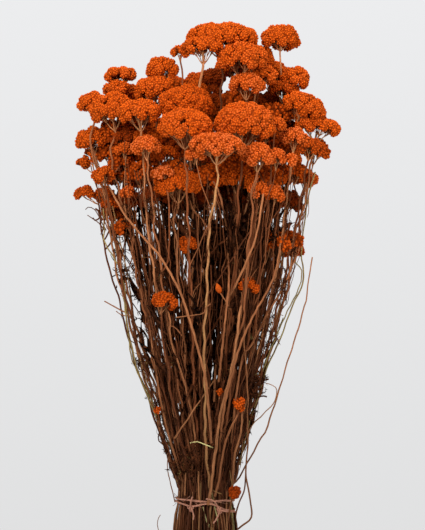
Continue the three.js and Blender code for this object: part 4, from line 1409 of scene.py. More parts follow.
def make_twigs(settings):
    """Thin stems in the bunch, and the single stems and straws that stand out of it."""
    finish = stem_material(settings)
    chance = np.random.default_rng(TWIG_SEED)
    thin = [
        *filler_lines(settings.thin_stems),
        *foot_lines(settings.cut_ends),
        *thread_lines(settings.loose_threads),
        (smooth_path(np.array(BUD_STALK) * MM, 2 * MM), 0.7 * MM, 0.6),
    ]
    add_part(tubes("thin_stems", thin, 4, finish), "stem")
    lines = []
    for tone, radius, depth, places in SINGLE_STEMS:
        path = wavy(single_path(depth, places), 0.35 * MM, 26 * MM, chance)
        lines.append((path, knotted(len(path), radius * MM, chance, (0.85, 1.1)), tone))
    add_part(tubes("single_stems", lines, 6, finish), "stem")


def sliver(points, faces, base, along, across, length, width):
    """Adds a thin four-sided leaflet."""
    first = len(points)
    up = np.cross(along, across)
    wide = across * width
    points.extend([base - wide, base + wide, base + up * width, base + along * length])
    corners = ((0, 1, 2), (0, 3, 1), (1, 3, 2), (2, 3, 0))
    faces.extend([first + a, first + b, first + c] for a, b, c in corners)


def feather(name, length, curl, pairs, chance):
    """A dry leaf, curled up and cut into fine leaflets to its rib."""
    share = np.linspace(0, 1, 8)
    angle = curl * share**1.3
    step = length / 7
    rib = np.zeros((8, 3))
    for index in range(1, 8):
        sway, lean = 0.15 * math.sin(3 * share[index]), angle[index]
        rib[index] = rib[index - 1] + step * np.array([sway, -math.sin(lean), math.cos(lean)])
    points = []
    for index in range(8):
        thick = 0.6 * MM * (1.2 - share[index])
        for cosine, sine in circle(3):
            points.append(rib[index] + thick * np.array([cosine, sine, 0.3 * sine]))
    faces = ring_faces(8, 3) + [[2, 1, 0], [21, 22, 23]]
    for pair in range(pairs):
        place = 0.15 + 0.8 * pair / pairs
        base = np.array([np.interp(place, share, rib[:, axis]) for axis in range(3)])
        for side in (-1, 1):
            along = np.array([side, *chance.normal(0, 0.5, 2)])
            along /= np.linalg.norm(along)
            across = np.cross(along, chance.normal(0, 1, 3))
            across /= np.linalg.norm(across)
            reach = length * (0.1 + 0.2 * math.sin(math.pi * place)) * chance.uniform(0.6, 1.3)
            sliver(points, faces, base, along, across, reach, 0.7 * MM)
    leaf = mesh_piece(name, points, (), faces)
    turned_outwards(leaf.data)
    return leaf


def ribbon(name, length, width, twist, bend, chance):
    """A long dry leaf, twisted and bent along its length."""
    share = np.linspace(0, 1, 9)
    lean = bend * share
    ways = np.column_stack([np.sin(lean), 0.3 * np.sin(4 * share + bend), np.cos(lean)])
    steps = ways * length / 8
    middle = np.vstack([[0, 0, 0], np.cumsum(steps[1:], axis=0)])
    points = []
    for place, spot in zip(share, middle):
        angle = twist * place
        half = width / 2 * (0.25 + 0.75 * math.sin(math.pi * min(1, place + 0.08)) ** 0.7)
        half *= chance.uniform(0.75, 1.15)
        side = np.array([math.cos(angle), math.sin(angle), 0])
        thick = np.array([-math.sin(angle), math.cos(angle), 0]) * 0.3 * MM
        ridge = spot + thick * 2 - 0.2 * half * side
        points.extend([spot + half * side, ridge, spot - half * side])
    faces = ring_faces(9, 3) + [[2, 1, 0], [24, 25, 26]]
    leaf = mesh_piece(name, points, (), faces)
    turned_outwards(leaf.data)
    return leaf


def shape_collection(name, leaves):
    """A collection of leaf shapes, kept out of the scene."""
    shapes = bpy.data.collections.new(name)
    for leaf in leaves:
        bpy.context.scene.collection.objects.unlink(leaf)
        shapes.objects.link(leaf)
    return shapes


def outwardness(points):
    """How far out in the bunch each point is: 0 in its middle and 1 at its edge."""
    wide = edges_at(points[:, 2])[1]
    return np.hypot(points[:, 0] / wide, points[:, 1] / (0.85 * wide))


def seen_distance(points, x, z):
    """How far the points are, as seen from the front, from x and z in millimetres."""
    return np.hypot(points[:, 0] - x * MM, points[:, 2] - z * MM)


def clear_of_open_places(points):
    """Which points leave the view of the open places free."""
    free = np.ones(len(points), bool)
    for x, y, z in OPEN_PLACES:
        behind = points[:, 1] > y * MM + 8 * MM
        free &= (seen_distance(points, x, z) > OPEN_REACH) | behind
    return free


def strew(piece, shapes, seed, settings):
    """Puts one of the leaf shapes on each point of the piece and makes it part of the object."""
    values = {"Leaves": shapes, "Seed": seed, "Material": leaf_material(settings)}
    made_real(piece, scatter_tree(), values)
    add_part(piece, "stem")


def make_curls(settings, chance):
    """Curled dry leaves and broken threads on the stems, thickest above the tie."""
    leaves = [
        feather(f"curl_{number}", length * MM, curl, pairs, chance)
        for number, (length, curl, pairs) in enumerate(CURL_KINDS)
    ]
    cloud = stem_cloud()
    heights, shares = [0.17, 0.2, 0.23, 0.3, 0.42, 0.52, 0.6], [0, 0.5, 1.4, 1.2, 0.8, 0.35, 0]
    likely = np.interp(cloud[:, 2], heights, shares)
    outer = 0.35 + np.clip(outwardness(cloud), 0, 1) ** 2
    likely *= outer * np.where(cloud[:, 1] < 0, 1.3, 0.8)
    chosen = cloud[chance.choice(len(cloud), settings.dry_leaves, p=likely / likely.sum())]
    for x, z, reach, count, proud in LEAF_PATCHES:
        near = cloud[seen_distance(cloud, x, z) < reach * MM]
        near = near[near[:, 1] < np.median(near[:, 1])]
        chosen = np.vstack([chosen, near[chance.choice(len(near), count)] - [0, proud * MM, 0]])
    chosen = chosen + chance.normal(0, 1.2 * MM, chosen.shape)
    chosen = chosen[clear_of_open_places(chosen)]
    count = len(chosen)
    roll, pitch = chance.normal(0, 0.9, count), chance.normal(0, 0.5, count)
    yaw = np.arctan2(chosen[:, 1], chosen[:, 0]) - np.pi / 2 + chance.normal(0, 1.0, count)
    size = chance.uniform(0.5, 1.15, count)
    tone = chance.uniform(0, 0.88, count)
    turn = np.column_stack([roll, pitch, yaw])
    piece = mesh_piece("dry_leaves", chosen, turn=turn, size=size, tone=tone)
    strew(piece, shape_collection("leaf_curls", leaves), CURL_CHOICE_SEED, settings)


def make_ribbons(settings, chance):
    """Long dry leaves, folded in among the stems."""
    leaves = [
        ribbon(f"ribbon_{number}", length * MM, width * MM, twist, bend, chance)
        for number, (length, width, twist, bend) in enumerate(RIBBON_KINDS)
    ]
    cloud = stem_cloud()
    likely = np.interp(cloud[:, 2], [0.24, 0.3, 0.4, 0.5, 0.56, 0.6], [0, 0.6, 1.3, 1.9, 1.7, 0])
    likely *= np.interp(outwardness(cloud), [0.3, 0.6, 0.9, 1.0], [1, 1, 0.5, 0])
    picked = chance.choice(len(cloud) - 1, settings.leaf_ribbons, p=likely[:-1] / likely[:-1].sum())
    for x, z in LEAF_GAPS:
        off = seen_distance(cloud[:-1], x, z) + 0.1 * abs(cloud[:-1, 1])
        picked = np.append(picked, off.argsort()[:16:4])
    spots, turn = [], []
    for index in picked:
        way = Vector(cloud[index + 1] - cloud[index])
        if way.length > 12 * MM:
            way = Vector((0, 0, 1))
        way = (way.normalized() + Vector(chance.normal(0, 0.13, 3))).normalized()
        spin = Matrix.Rotation(chance.uniform(0, 2 * math.pi), 3, "Z").to_quaternion()
        spot = Vector(cloud[index]) * 0.95 - 30 * MM * way
        ends = np.array([spot + reach * MM * way for reach in (0, 35, 70)])
        under_heads = ends[-1][2] < 555 * MM or ends[:, 1].min() > -10 * MM
        free = clear_of_open_places(ends).all() and clear_of_edges(ends)
        inside = outwardness(ends).max() < 0.88 and ends[0][2] > 225 * MM
        if under_heads and free and inside:
            spots.append(spot)
            turn.append(tuple((way.to_track_quat("Z", "Y") @ spin).to_euler()))
    size = chance.uniform(0.6, 1.1, len(spots))
    tone = chance.uniform(0, 0.7, len(spots))
    piece = mesh_piece("leaf_ribbons", spots, turn=turn, size=size, tone=tone)
    strew(piece, shape_collection("long_leaves", leaves), RIBBON_CHOICE_SEED, settings)


def make_leaves(settings):
    """All the dry leaves and the one closed bud."""
    chance = np.random.default_rng(LEAF_SEED)
    make_curls(settings, chance)
    make_ribbons(settings, chance)
    make_bud(settings)


def make_bud(settings):
    """The one closed bud low in the front of the bunch."""
    rings = [
        (0.0, 0.1), (0.12, 0.7), (0.35, 1.0), (0.6, 0.9), (0.82, 0.5), (0.94, 0.2), (1.0, 0.05),
    ]
    corners, length, wide, deep = 10, 12, 3.8, 2.8
    base = np.array(BUD_STALK[0]) * MM
    along = np.array([-0.35, -0.1, 0.93])
    along /= np.linalg.norm(along)
    across = np.cross(along, [0, 1, 0])
    across /= np.linalg.norm(across)
    front = np.cross(along, across)
    points, tip = [], []
    for share, swell in rings:
        for corner in range(corners):
            angle = 2 * math.pi * corner / corners
            fold = 1 + 0.12 * math.cos(3 * angle)
            side = across * math.cos(angle) * wide + front * math.sin(angle) * deep
            points.append(base + along * share * length * MM + side * swell * fold * MM)
            tip.append(0.4 + 0.5 * share)
    ends = [list(range(corners)), [len(points) - 1 - corner for corner in range(corners)]]
    faces = ends + ring_faces(len(rings), corners)
    looks = {"tip": tip, "shade": [0.2] * len(points), "tone": [0.6] * len(points)}
    bud = mesh_piece("closed_bud", points, (), faces, **looks)
    turned_outwards(bud.data)
    bud.modifiers.new("Rounded", "SUBSURF").levels = 2
    bud.modifiers["Rounded"].render_levels = 2
    bud.data.materials.append(floret_material(settings))
    add_part(bud, "floret")


# Raffia tie


def strand_lines(places, thick, pitch, chance):
    """Three twisted fibres round a smooth path."""
    path = smooth_path(places, 1.6 * MM)
    along = np.linspace(0, 1, len(path)) * np.linalg.norm(np.diff(path, axis=0), axis=1).sum()
    ahead = np.gradient(path, axis=0)
    ahead /= np.linalg.norm(ahead, axis=1)[:, None]
    side = np.cross(ahead, [0.1, 0.2, 1.0])
    side /= np.linalg.norm(side, axis=1)[:, None]
    up = np.cross(side, ahead)
    lines = []
    for fibre in range(3):
        angle = 2 * np.pi * (along / pitch + fibre / 3)
        turn = side * np.cos(angle)[:, None] + up * np.sin(angle)[:, None]
        line = wavy(path + 0.52 * thick * turn, 0.12 * thick, 9 * MM, chance)
        radii = thick * 0.62 * (1 + 0.12 * np.sin(along / (3 * MM) + fibre))
        lines.append((line, radii, chance.uniform(0.3, 0.9)))
    return lines


def turn_round(heights, radius):
    """A closed turn round the bunch, at the height given for each angle in degrees."""
    angles = np.radians(sorted(heights))
    level = [heights[key] for key in sorted(heights)]
    around = np.linspace(-np.pi, np.pi, 73)
    z = np.interp(around, angles, level)
    z = np.convolve(np.pad(z[:-1], 3, mode="wrap"), np.ones(5) / 5, mode="valid")[:73]
    far = radius + 0.5 * np.sin(9 * around)
    path = np.column_stack([far * np.cos(around), far * np.sin(around), z])
    path[-1] = path[0]
    return path * MM


def knot_path(middle, size, tilt):
    """An overhand knot, pulled tight."""
    turn = np.linspace(0, 2 * np.pi, 40)
    across, rise = np.sin(turn) + 2 * np.sin(2 * turn), np.cos(turn) - 2 * np.cos(2 * turn)
    loop = np.column_stack([across, 0.75 * np.sin(3 * turn), rise])
    spin = np.array(Matrix.Rotation(tilt, 3, "Z"))
    return (loop * size) @ spin.T + np.array(middle) * MM


def make_tie(settings):
    """Two turns of twisted raffia round the bunch, with two knots and loose tails."""
    chance = np.random.default_rng(TIE_SEED)
    lines = [
        *strand_lines(turn_round(UPPER_TURN, UPPER_REACH), 1.05 * MM, LOOSE_TWIST, chance),
        *strand_lines(turn_round(LOWER_TURN, LOWER_REACH), 1.0 * MM, TURN_TWIST, chance),
    ]
    for middle, tilt in ((LEFT_KNOT, -0.45), (RIGHT_KNOT, 0.5)):
        for size, turn in ((1.25, tilt), (0.75, tilt + 1.2)):
            path = knot_path(middle, size * MM, turn)
            lines.extend(strand_lines(path, THIN_STRAND, KNOT_TWIST, chance))
    for places in TAILS:
        lines.extend(strand_lines(np.array(places) * MM, THIN_STRAND, LOOSE_TWIST, chance))
    for _ in range(LOOSE_FIBRES):
        angle = chance.uniform(0, 2 * np.pi)
        cosine, sine = math.cos(angle), math.sin(angle)
        base = np.array([31.8 * cosine, 31.8 * sine, 203 + chance.normal(0, 1.5)])
        way = np.array([-sine, cosine, chance.normal(0, 0.5)])
        out = np.array([cosine, sine, 0]) * chance.uniform(0.2, 2.6)
        shares = ((0, 0), (3, 0.5), (6, 1), (8.5, 1.6))
        places = [base + far * way + off * out for far, off in shares]
        line = smooth_path(np.array(places) * MM, 1.5 * MM)
        lines.append((line, 0.22 * MM, chance.uniform(0.4, 1)))
    strands = tubes("raffia_strands", lines, 5, raffia_material(settings))
    add_part(strands, "raffia", "raffia_tie")


# Vase


def profile_places(pairs):
    """Radius and height in millimetres as places in metres."""
    return [(radius * MM, 0, z * MM) for radius, z in pairs]


def make_vase(settings):
    """The pot: a lathed wall with soft throwing rings, a rounded lip and a trimmed foot."""
    wall = smooth_path(profile_places(VASE_OUTSIDE), 2 * MM)
    level = wall[:, 2] / MM
    rings = np.sin(2 * np.pi * level / 8.5 + 0.8 * np.sin(level / 19))
    wall[:, 0] += 0.22 * MM * rings * np.clip((160 - level) / 20, 0, 1)
    angles = np.linspace(0.2, 2.9, 9)
    lip = [(48 + 3 * math.cos(angle), 161.6 + 3.2 * math.sin(angle)) for angle in angles]
    hollow = smooth_path(profile_places(VASE_INSIDE[:-1]), 4 * MM)
    foot, rim, middle = (profile_places(part) for part in (VASE_FOOT, lip, VASE_INSIDE[-1:]))
    profile = np.vstack([foot, wall, rim, hollow, middle])
    points = [
        (radius * cosine, radius * sine, z)
        for radius, _, z in profile
        for cosine, sine in circle(VASE_SIDES)
    ]
    vase = mesh_piece("stoneware_vase", points, (), ring_faces(len(profile), VASE_SIDES))
    turned_outwards(vase.data)
    vase.data.materials.append(stoneware_material(settings))
    add_part(vase, "stoneware", "vase")


# Materials

STALK_BROWN = (0.06, 0.022, 0.008, 1)
IRON_SPECK = (0.09, 0.055, 0.035, 1)


def new_material(name, **values):
    """A material with its main shader, whose plain sockets get the given values."""
    material = bpy.data.materials.new(name)
    material.use_nodes = True
    shader = material.node_tree.nodes["Principled BSDF"]
    for label, value in values.items():
        shader.inputs[label.replace("_", " ")].default_value = value
    return material, material.node_tree, shader


def stored(tree, name, output="Fac"):
    """A value that the piece's points carry."""
    return node_in(tree, "ShaderNodeAttribute", attribute_name=name).outputs[output]


def calculated(tree, operation, first, second):
    """One sum of two values."""
    return node_in(tree, "ShaderNodeMath", {0: first, 1: second}, operation=operation).outputs[0]


def ranged(tree, value, low, high, new_low, new_high, kind="LINEAR"):
    """A value carried from one range to another."""
    names = ("Value", "From Min", "From Max", "To Min", "To Max")
    inputs = dict(zip(names, (value, low, high, new_low, new_high)))
    return node_in(tree, "ShaderNodeMapRange", inputs, interpolation_type=kind).outputs["Result"]


def mixed(tree, share, first, second, blend="MIX"):
    """Two colours mixed."""
    inputs = {0: share, 6: first, 7: second}
    return node_in(tree, "ShaderNodeMix", inputs, data_type="RGBA", blend_type=blend).outputs[2]


def coloured(tree, shader, colour, light):
    """Gives the surface a colour that a value dims or brightens."""
    tree.links.new(mixed(tree, 1.0, colour, light, "MULTIPLY"), shader.inputs["Base Color"])


def bumped(tree, shader, height, distance):
    """Raises the surface by a height, at most the distance."""
    inputs = {"Strength": 1.0, "Distance": distance, "Height": height}
    normal = node_in(tree, "ShaderNodeBump", inputs).outputs["Normal"]
    tree.links.new(normal, shader.inputs["Normal"])


def noise(tree, place, scale, **values):
    """A soft noise by place."""
    inputs = {"Vector": place, "Scale": scale, **values}
    return node_in(tree, "ShaderNodeTexNoise", inputs).outputs[0]


@functools.cache
def fibre_group():
    """Ribs and streaks that run along a stem or a strand."""
    tree, given, result = tree_of(
        "Dry Fibre",
        "ShaderNodeTree",
        [
            ("Ring", "Vector", None),
            ("Along", "Float", 0.0),
            ("Ribs", "Float", 3.0),
            ("Length", "Float", 0.05),
        ],
        [("Streak", "Float"), ("Height", "Float")],
    )
    x, y = node_in(tree, "ShaderNodeSeparateXYZ", {0: given["Ring"]}).outputs[:2]
    run = calculated(tree, "DIVIDE", given["Along"], given["Length"])
    fine = noise(tree, combined(tree, x, y, run), given["Ribs"], Detail=3.0, Roughness=0.6)
    slow = calculated(tree, "MULTIPLY", run, 4.0)
    blotch = noise(tree, combined(tree, y, x, slow), 1.3, Detail=2.0)
    blend = calculated(tree, "MULTIPLY", blotch, 0.45)
    both = calculated(tree, "ADD", calculated(tree, "MULTIPLY", fine, 0.75), blend)
    tree.links.new(ranged(tree, both, 0.38, 0.82, 0.0, 1.0), result["Streak"])
    tree.links.new(fine, result["Height"])
    return tree


@functools.cache
def mottle_group():
    """Soft patches of tone and a fine grain, by place on the piece."""
    tree, given, result = tree_of(
        "Mottle",
        "ShaderNodeTree",
        [
            ("Place", "Vector", None),
            ("Patches Per Metre", "Float", 80.0),
            ("Grains Per Metre", "Float", 1200.0),
        ],
        [("Patch", "Float"), ("Grain", "Float")],
    )
    patch = noise(tree, given["Place"], given["Patches Per Metre"], Detail=2.0)
    grain = noise(tree, given["Place"], given["Grains Per Metre"], Detail=1.0)
    tree.links.new(ranged(tree, patch, 0.3, 0.7, 0.0, 1.0), result["Patch"])
    tree.links.new(ranged(tree, grain, 0.3, 0.7, 0.0, 1.0), result["Grain"])
    return tree


def placed_group(tree, group, inputs):
    """A shader group with its own values."""
    return node_in(tree, "ShaderNodeGroup", inputs, node_tree=group).outputs


def colours_of(settings, *names):
    """The colours of these names in the settings, as plain numbers."""
    return [tuple(getattr(settings, name)) for name in names]


def object_place(tree):
    """The place on the object itself."""
    return tree.nodes.new("ShaderNodeTexCoord").outputs["Object"]


def ramp_of(tree, value, stops):
    """A colour ramp with (position, colour) stops."""
    ramp = node_in(tree, "ShaderNodeValToRGB", {"Fac": value})
    while len(ramp.color_ramp.elements) < len(stops):
        ramp.color_ramp.elements.new(0.5)
    for element, (position, colour) in zip(ramp.color_ramp.elements, stops):
        element.position = position
        element.color = (*colour, 1)
    return ramp.outputs["Color"]


@functools.cache
def made_stem_material(tan, red_brown, dark, olive, straw):
    """The stem material in these colours."""
    material, tree, shader = new_material("Dried Stem", Roughness=0.62, Specular_IOR_Level=0.1)
    inputs = {"Ring": stored(tree, "ring", "Vector"), "Along": stored(tree, "along")}
    fibre = placed_group(tree, fibre_group(), inputs)
    shift = ranged(tree, fibre["Streak"], 0, 1, -0.07, 0.06)
    tone = calculated(tree, "ADD", stored(tree, "tone"), shift)
    middle = tuple(0.55 * a + 0.45 * b for a, b in zip(red_brown, tan))
    places = (0.02, 0.3, 0.52, 0.74, 0.87, 0.98)
    stops = list(zip(places, (dark, red_brown, middle, tan, olive, straw)))
    colour = ramp_of(tree, tone, stops)
    light = ranged(tree, fibre["Streak"], 0, 1, 0.45, 1.35)
    # Painted light: stems are lighter higher up, to lift them in the shade under the heads, and
    # darker towards the tie.
    height = node_in(tree, "ShaderNodeSeparateXYZ", {0: object_place(tree)}).outputs[2]
    painted_light_by_height = ranged(tree, height, 0.22, 0.62, 0.78, 2.4)
    light = calculated(tree, "MULTIPLY", light, painted_light_by_height)
    coloured(tree, shader, colour, light)
    tree.links.new(ranged(tree, fibre["Streak"], 0, 1, 0.8, 0.5), shader.inputs["Roughness"])
    bumped(tree, shader, fibre["Height"], 0.0007)
    return material


def stem_material(settings):
    """Ribbed dry stem: its tone runs from nearly black to tan, olive and straw."""
    names = ("stem_tan", "stem_red_brown", "stem_dark", "stem_olive", "straw")
    return made_stem_material(*colours_of(settings, *names))


@functools.cache
def made_floret_material(bright, deep, pale):
    """The floret material in these colours."""
    material, tree, shader = new_material("Dyed Florets", Roughness=0.85, Specular_IOR_Level=0.06)
    mottle = placed_group(tree, mottle_group(), {"Place": object_place(tree)})
    tone = ranged(tree, stored(tree, "tone"), 0, 1, -0.15, 0.15)
    patch = ranged(tree, mottle["Patch"], 0, 1, -0.14, 0.14)
    share = calculated(tree, "ADD", calculated(tree, "ADD", stored(tree, "tip"), tone), patch)
    # Painted shade: the florets' low sides and the gaps between them take the shaded colour, their
    # tips the bright one.
    colour = mixed(tree, ranged(tree, share, 0.0, 0.9, 0.0, 1.0), (*deep, 1), (*bright, 1))
    # Dust with painted light: heads with a shade value above 0 are mixed towards the pale colour.
    paler = ranged(tree, stored(tree, "shade"), 0, 1, 0, 1)
    dust_and_painted_light = calculated(tree, "MULTIPLY", paler, ranged(tree, share, 0.2, 1, 0.2, 1))
    colour = mixed(tree, dust_and_painted_light, colour, (*pale, 1))
    # Painted shade: heads with a shade value below 0, which stand in shade, are darkened.
    painted_shade = ranged(tree, stored(tree, "shade"), -1, 0, 0.85, 0)
    colour = mixed(tree, painted_shade, colour, (*deep, 1))
    dim = ranged(tree, stored(tree, "shade"), -1.6, -0.7, 0.16, 1)
    colour = mixed(tree, 1.0, colour, dim, "MULTIPLY")
    grain = ranged(tree, mottle["Grain"], 0, 1, 0.8, 1.15)
    coloured(tree, shader, colour, grain)
    bumped(tree, shader, mottle["Grain"], 0.0003)
    return material


def floret_material(settings):
    """Dyed florets: bright at their tips, with painted shade deep between them and on heads in
    shade, and dust with painted light on the pale heads.
    """
    names = ("floret_bright", "floret_shaded", "floret_dust_and_light")
    return made_floret_material(*colours_of(settings, *names))


@functools.cache
def made_core_material(bright, deep):
    """The material under the florets in these colours."""
    material, tree, shader = new_material("Floret Stalks", Roughness=0.9, Specular_IOR_Level=0.05)
    inputs = {"Place": object_place(tree), "Patches Per Metre": 420.0}
    mottle = placed_group(tree, mottle_group(), inputs)
    # Painted shade: between the florets the colour leans to the shaded one; below them stalk brown
    # is mixed with it.
    between = mixed(tree, 0.35, (*deep, 1), (*bright, 1))
    under = mixed(tree, 0.5, (*deep, 1), STALK_BROWN)
    colour = mixed(tree, stored(tree, "bloom"), under, between)
    # Painted shade on heads that stand in shade.
    painted_shade = ranged(tree, stored(tree, "shade"), -1, 0, 0.7, 0)
    colour = mixed(tree, painted_shade, colour, (*(0.4 * channel for channel in deep), 1))
    coloured(tree, shader, colour, ranged(tree, mottle["Patch"], 0, 1, 0.6, 1.15))
    bumped(tree, shader, mottle["Grain"], 0.0008)
    return material


def core_material(settings):
    """The stalks between and under the florets: painted shade between them, and below them stalk
    brown with more painted shade.
    """
    return made_core_material(*colours_of(settings, "floret_bright", "floret_shaded"))


@functools.cache
def made_leaf_material(dark, brown, olive):
    """The leaf material in these colours."""
    material, tree, shader = new_material("Dry Leaf", Roughness=0.8, Specular_IOR_Level=0.06)
    inputs = {"Place": object_place(tree), "Patches Per Metre": 150.0}
    mottle = placed_group(tree, mottle_group(), inputs)
    patch = ranged(tree, mottle["Patch"], 0, 1, -0.2, 0.2)
    tone = calculated(tree, "ADD", stored(tree, "tone"), patch)
    half = tuple(0.5 * channel for channel in brown)
    colour = ramp_of(tree, tone, [(0.0, dark), (0.55, half), (0.85, brown), (1.0, olive)])
    tree.links.new(colour, shader.inputs["Base Color"])
    bumped(tree, shader, mottle["Grain"], 0.0003)
    return material


def leaf_material(settings):
    """Crisp dry leaf, from nearly black to red-brown."""
    names = ("stem_dark", "stem_red_brown", "stem_olive")
    return made_leaf_material(*colours_of(settings, *names))


def raffia_material(settings):
    """Twisted raffia: pinkish fibre with darker strands."""
    material, tree, shader = new_material("Raffia", Roughness=0.7, Specular_IOR_Level=0.25)
    inputs = {"Ring": stored(tree, "ring", "Vector"), "Along": stored(tree, "along")}
    fibre = placed_group(tree, fibre_group(), {**inputs, "Ribs": 4.0, "Length": 0.01})
    light = ranged(tree, stored(tree, "tone"), 0, 1, 0.5, 1.1)
    share = calculated(tree, "MULTIPLY", fibre["Streak"], light)
    pink = tuple(settings.raffia)
    dark = tuple(0.28 * channel for channel in pink)
    tree.links.new(mixed(tree, share, (*dark, 1), (*pink, 1)), shader.inputs["Base Color"])
    bumped(tree, shader, fibre["Height"], 0.0005)
    return material


def stoneware_material(settings):
    """Off-white glaze with iron specks, thin and warm on the lip, over a bare clay foot."""
    material, tree, shader = new_material("Stoneware Glaze", Roughness=0.4, Specular_IOR_Level=0.5)
    place = object_place(tree)
    inputs = {"Place": place, "Patches Per Metre": 26.0, "Grains Per Metre": 700.0}
    mottle = placed_group(tree, mottle_group(), inputs)
    glaze, clay = tuple(settings.glaze), tuple(settings.clay)
    cool = tuple(channel * share for channel, share in zip(glaze, (0.86, 0.87, 0.9)))
    colour = mixed(tree, mottle["Patch"], (*cool, 1), (*glaze, 1))
    specks = node_in(tree, "ShaderNodeTexVoronoi", {"Vector": place, "Scale": 210.0})
    chance = node_in(tree, "ShaderNodeSeparateXYZ", {0: specks.outputs["Color"]})
    reach = ranged(tree, chance.outputs[0], 0.78, 1, 0, 0.2)
    spot = calculated(tree, "LESS_THAN", specks.outputs["Distance"], reach)
    colour = mixed(tree, calculated(tree, "MULTIPLY", spot, 0.8), colour, IRON_SPECK)
    height = node_in(tree, "ShaderNodeSeparateXYZ", {0: place}).outputs[2]
    wander = ranged(tree, mottle["Patch"], 0, 1, -0.0012, 0.0012)
    level = calculated(tree, "ADD", height, wander)
    thin = ranged(tree, level, 0.1605, 0.1655, 0, 0.75)
    colour = mixed(tree, thin, colour, (*(0.5 * (a + b) for a, b in zip(glaze, clay)), 1))
    bare = ranged(tree, level, 0.0062, 0.0052, 0, 1)
    colour = mixed(tree, bare, colour, (*clay, 1))
    tree.links.new(colour, shader.inputs["Base Color"])
    tree.links.new(ranged(tree, bare, 0, 1, 0.36, 0.9), shader.inputs["Roughness"])
    bumped(tree, shader, mottle["Grain"], 0.00015)
    return material


# Stage


def area_light(name, place, aim, power, width):
    """A soft square light turned at a point."""
    light = bpy.data.lights.new(name, "AREA")
    light.energy, light.size = power, width
    lamp = bpy.data.objects.new(name, light)
    lamp.location = place
    lamp.rotation_euler = (Vector(aim) - Vector(place)).to_track_quat("-Z", "Y").to_euler()
    bpy.context.scene.collection.objects.link(lamp)


def make_floor(settings):
    """A pale floor that fades out into the pale background."""
    count = FLOOR_CORNERS
    points = [(0, 0, FLOOR_LEVEL)] + [
        (radius * cosine, radius * sine, FLOOR_LEVEL)
        for radius in FLOOR_RADII
        for cosine, sine in circle(count)
    ]
    faces = [(0, 1 + corner, 1 + (corner + 1) % count) for corner in range(count)]
    faces += [
        (1 + corner, 1 + count + corner, 1 + count + (corner + 1) % count, 1 + (corner + 1) % count)
        for corner in range(count)
    ]
    floor = mesh_piece("studio_floor", points, (), faces)
    colour = (*settings.floor_colour, 1)
    looks = {"Roughness": 0.85, "Base_Color": colour, "Specular_IOR_Level": 0.2}
    material, tree, shader = new_material("Pale Floor", **looks)
    away = node_in(tree, "ShaderNodeVectorMath", {0: object_place(tree)}, operation="LENGTH")
    fade = ranged(tree, away.outputs["Value"], 0.5, 1.85, 1.0, 0.0, "SMOOTHSTEP")
    tree.links.new(fade, shader.inputs["Alpha"])
    floor.data.materials.append(material)


def make_world():
    """A pale backdrop all round, a little lighter towards the top, and dimmer as a light."""
    world = bpy.data.worlds.new("Pale Studio")
    world.use_nodes = True
    bpy.context.scene.world = world
    tree = world.node_tree
    background = tree.nodes["Background"]
    place = tree.nodes.new("ShaderNodeTexCoord").outputs["Generated"]
    way = node_in(tree, "ShaderNodeSeparateXYZ", {0: place})
    rise = ranged(tree, way.outputs[2], -0.08, 0.08, 0, 1)
    colour = mixed(tree, rise, BACKDROP_LOW, BACKDROP_HIGH)
    tree.links.new(colour, background.inputs["Color"])
    seen = node_in(tree, "ShaderNodeLightPath").outputs["Is Camera Ray"]
    tree.links.new(ranged(tree, seen, 0, 1, 0.24, 1.0), background.inputs["Strength"])


def make_stage(settings):
    """Floor, backdrop, soft lights and the camera at the photograph's angle."""
    make_floor(settings)
    make_world()
    for light in LIGHTS:
        area_light(*light)
    scene = bpy.context.scene
    camera = bpy.data.cameras.new("front_camera")
    camera.sensor_width = SENSOR
    camera.lens = SENSOR / 2 * CAMERA_DISTANCE / (PHOTO_HEIGHT * PIXEL * MM / 2)
    camera.clip_start, camera.clip_end = 0.1, 60
    seat = bpy.data.objects.new("front_camera", camera)
    seat.location = (PHOTO_MIDDLE[0], -CAMERA_DISTANCE, PHOTO_MIDDLE[1])
    seat.rotation_euler = (math.pi / 2, 0, 0)
    scene.collection.objects.link(seat)
    scene.camera = seat
    scene.view_settings.view_transform = "Standard"
    scene.view_settings.look = "None"


# The add-on: settings, one operator for each kind of piece, and the panel


def length_setting(label, note, default, low, high):
    """A length in metres."""
    values = {"default": default, "min": low, "max": high, "precision": 4}
    kind = {"subtype": "DISTANCE", "unit": "LENGTH"}
    return bpy.props.FloatProperty(name=label, description=note, **values, **kind)


def count_setting(label, note, default, high):
    """How many there are of a kind."""
    return bpy.props.IntProperty(name=label, description=note, default=default, min=0, max=high)


def colour_setting(label, note, default):
    """A linear colour."""
    return bpy.props.FloatVectorProperty(
        name=label, description=note, default=default, min=0, max=1, size=3, subtype="COLOR"
    )


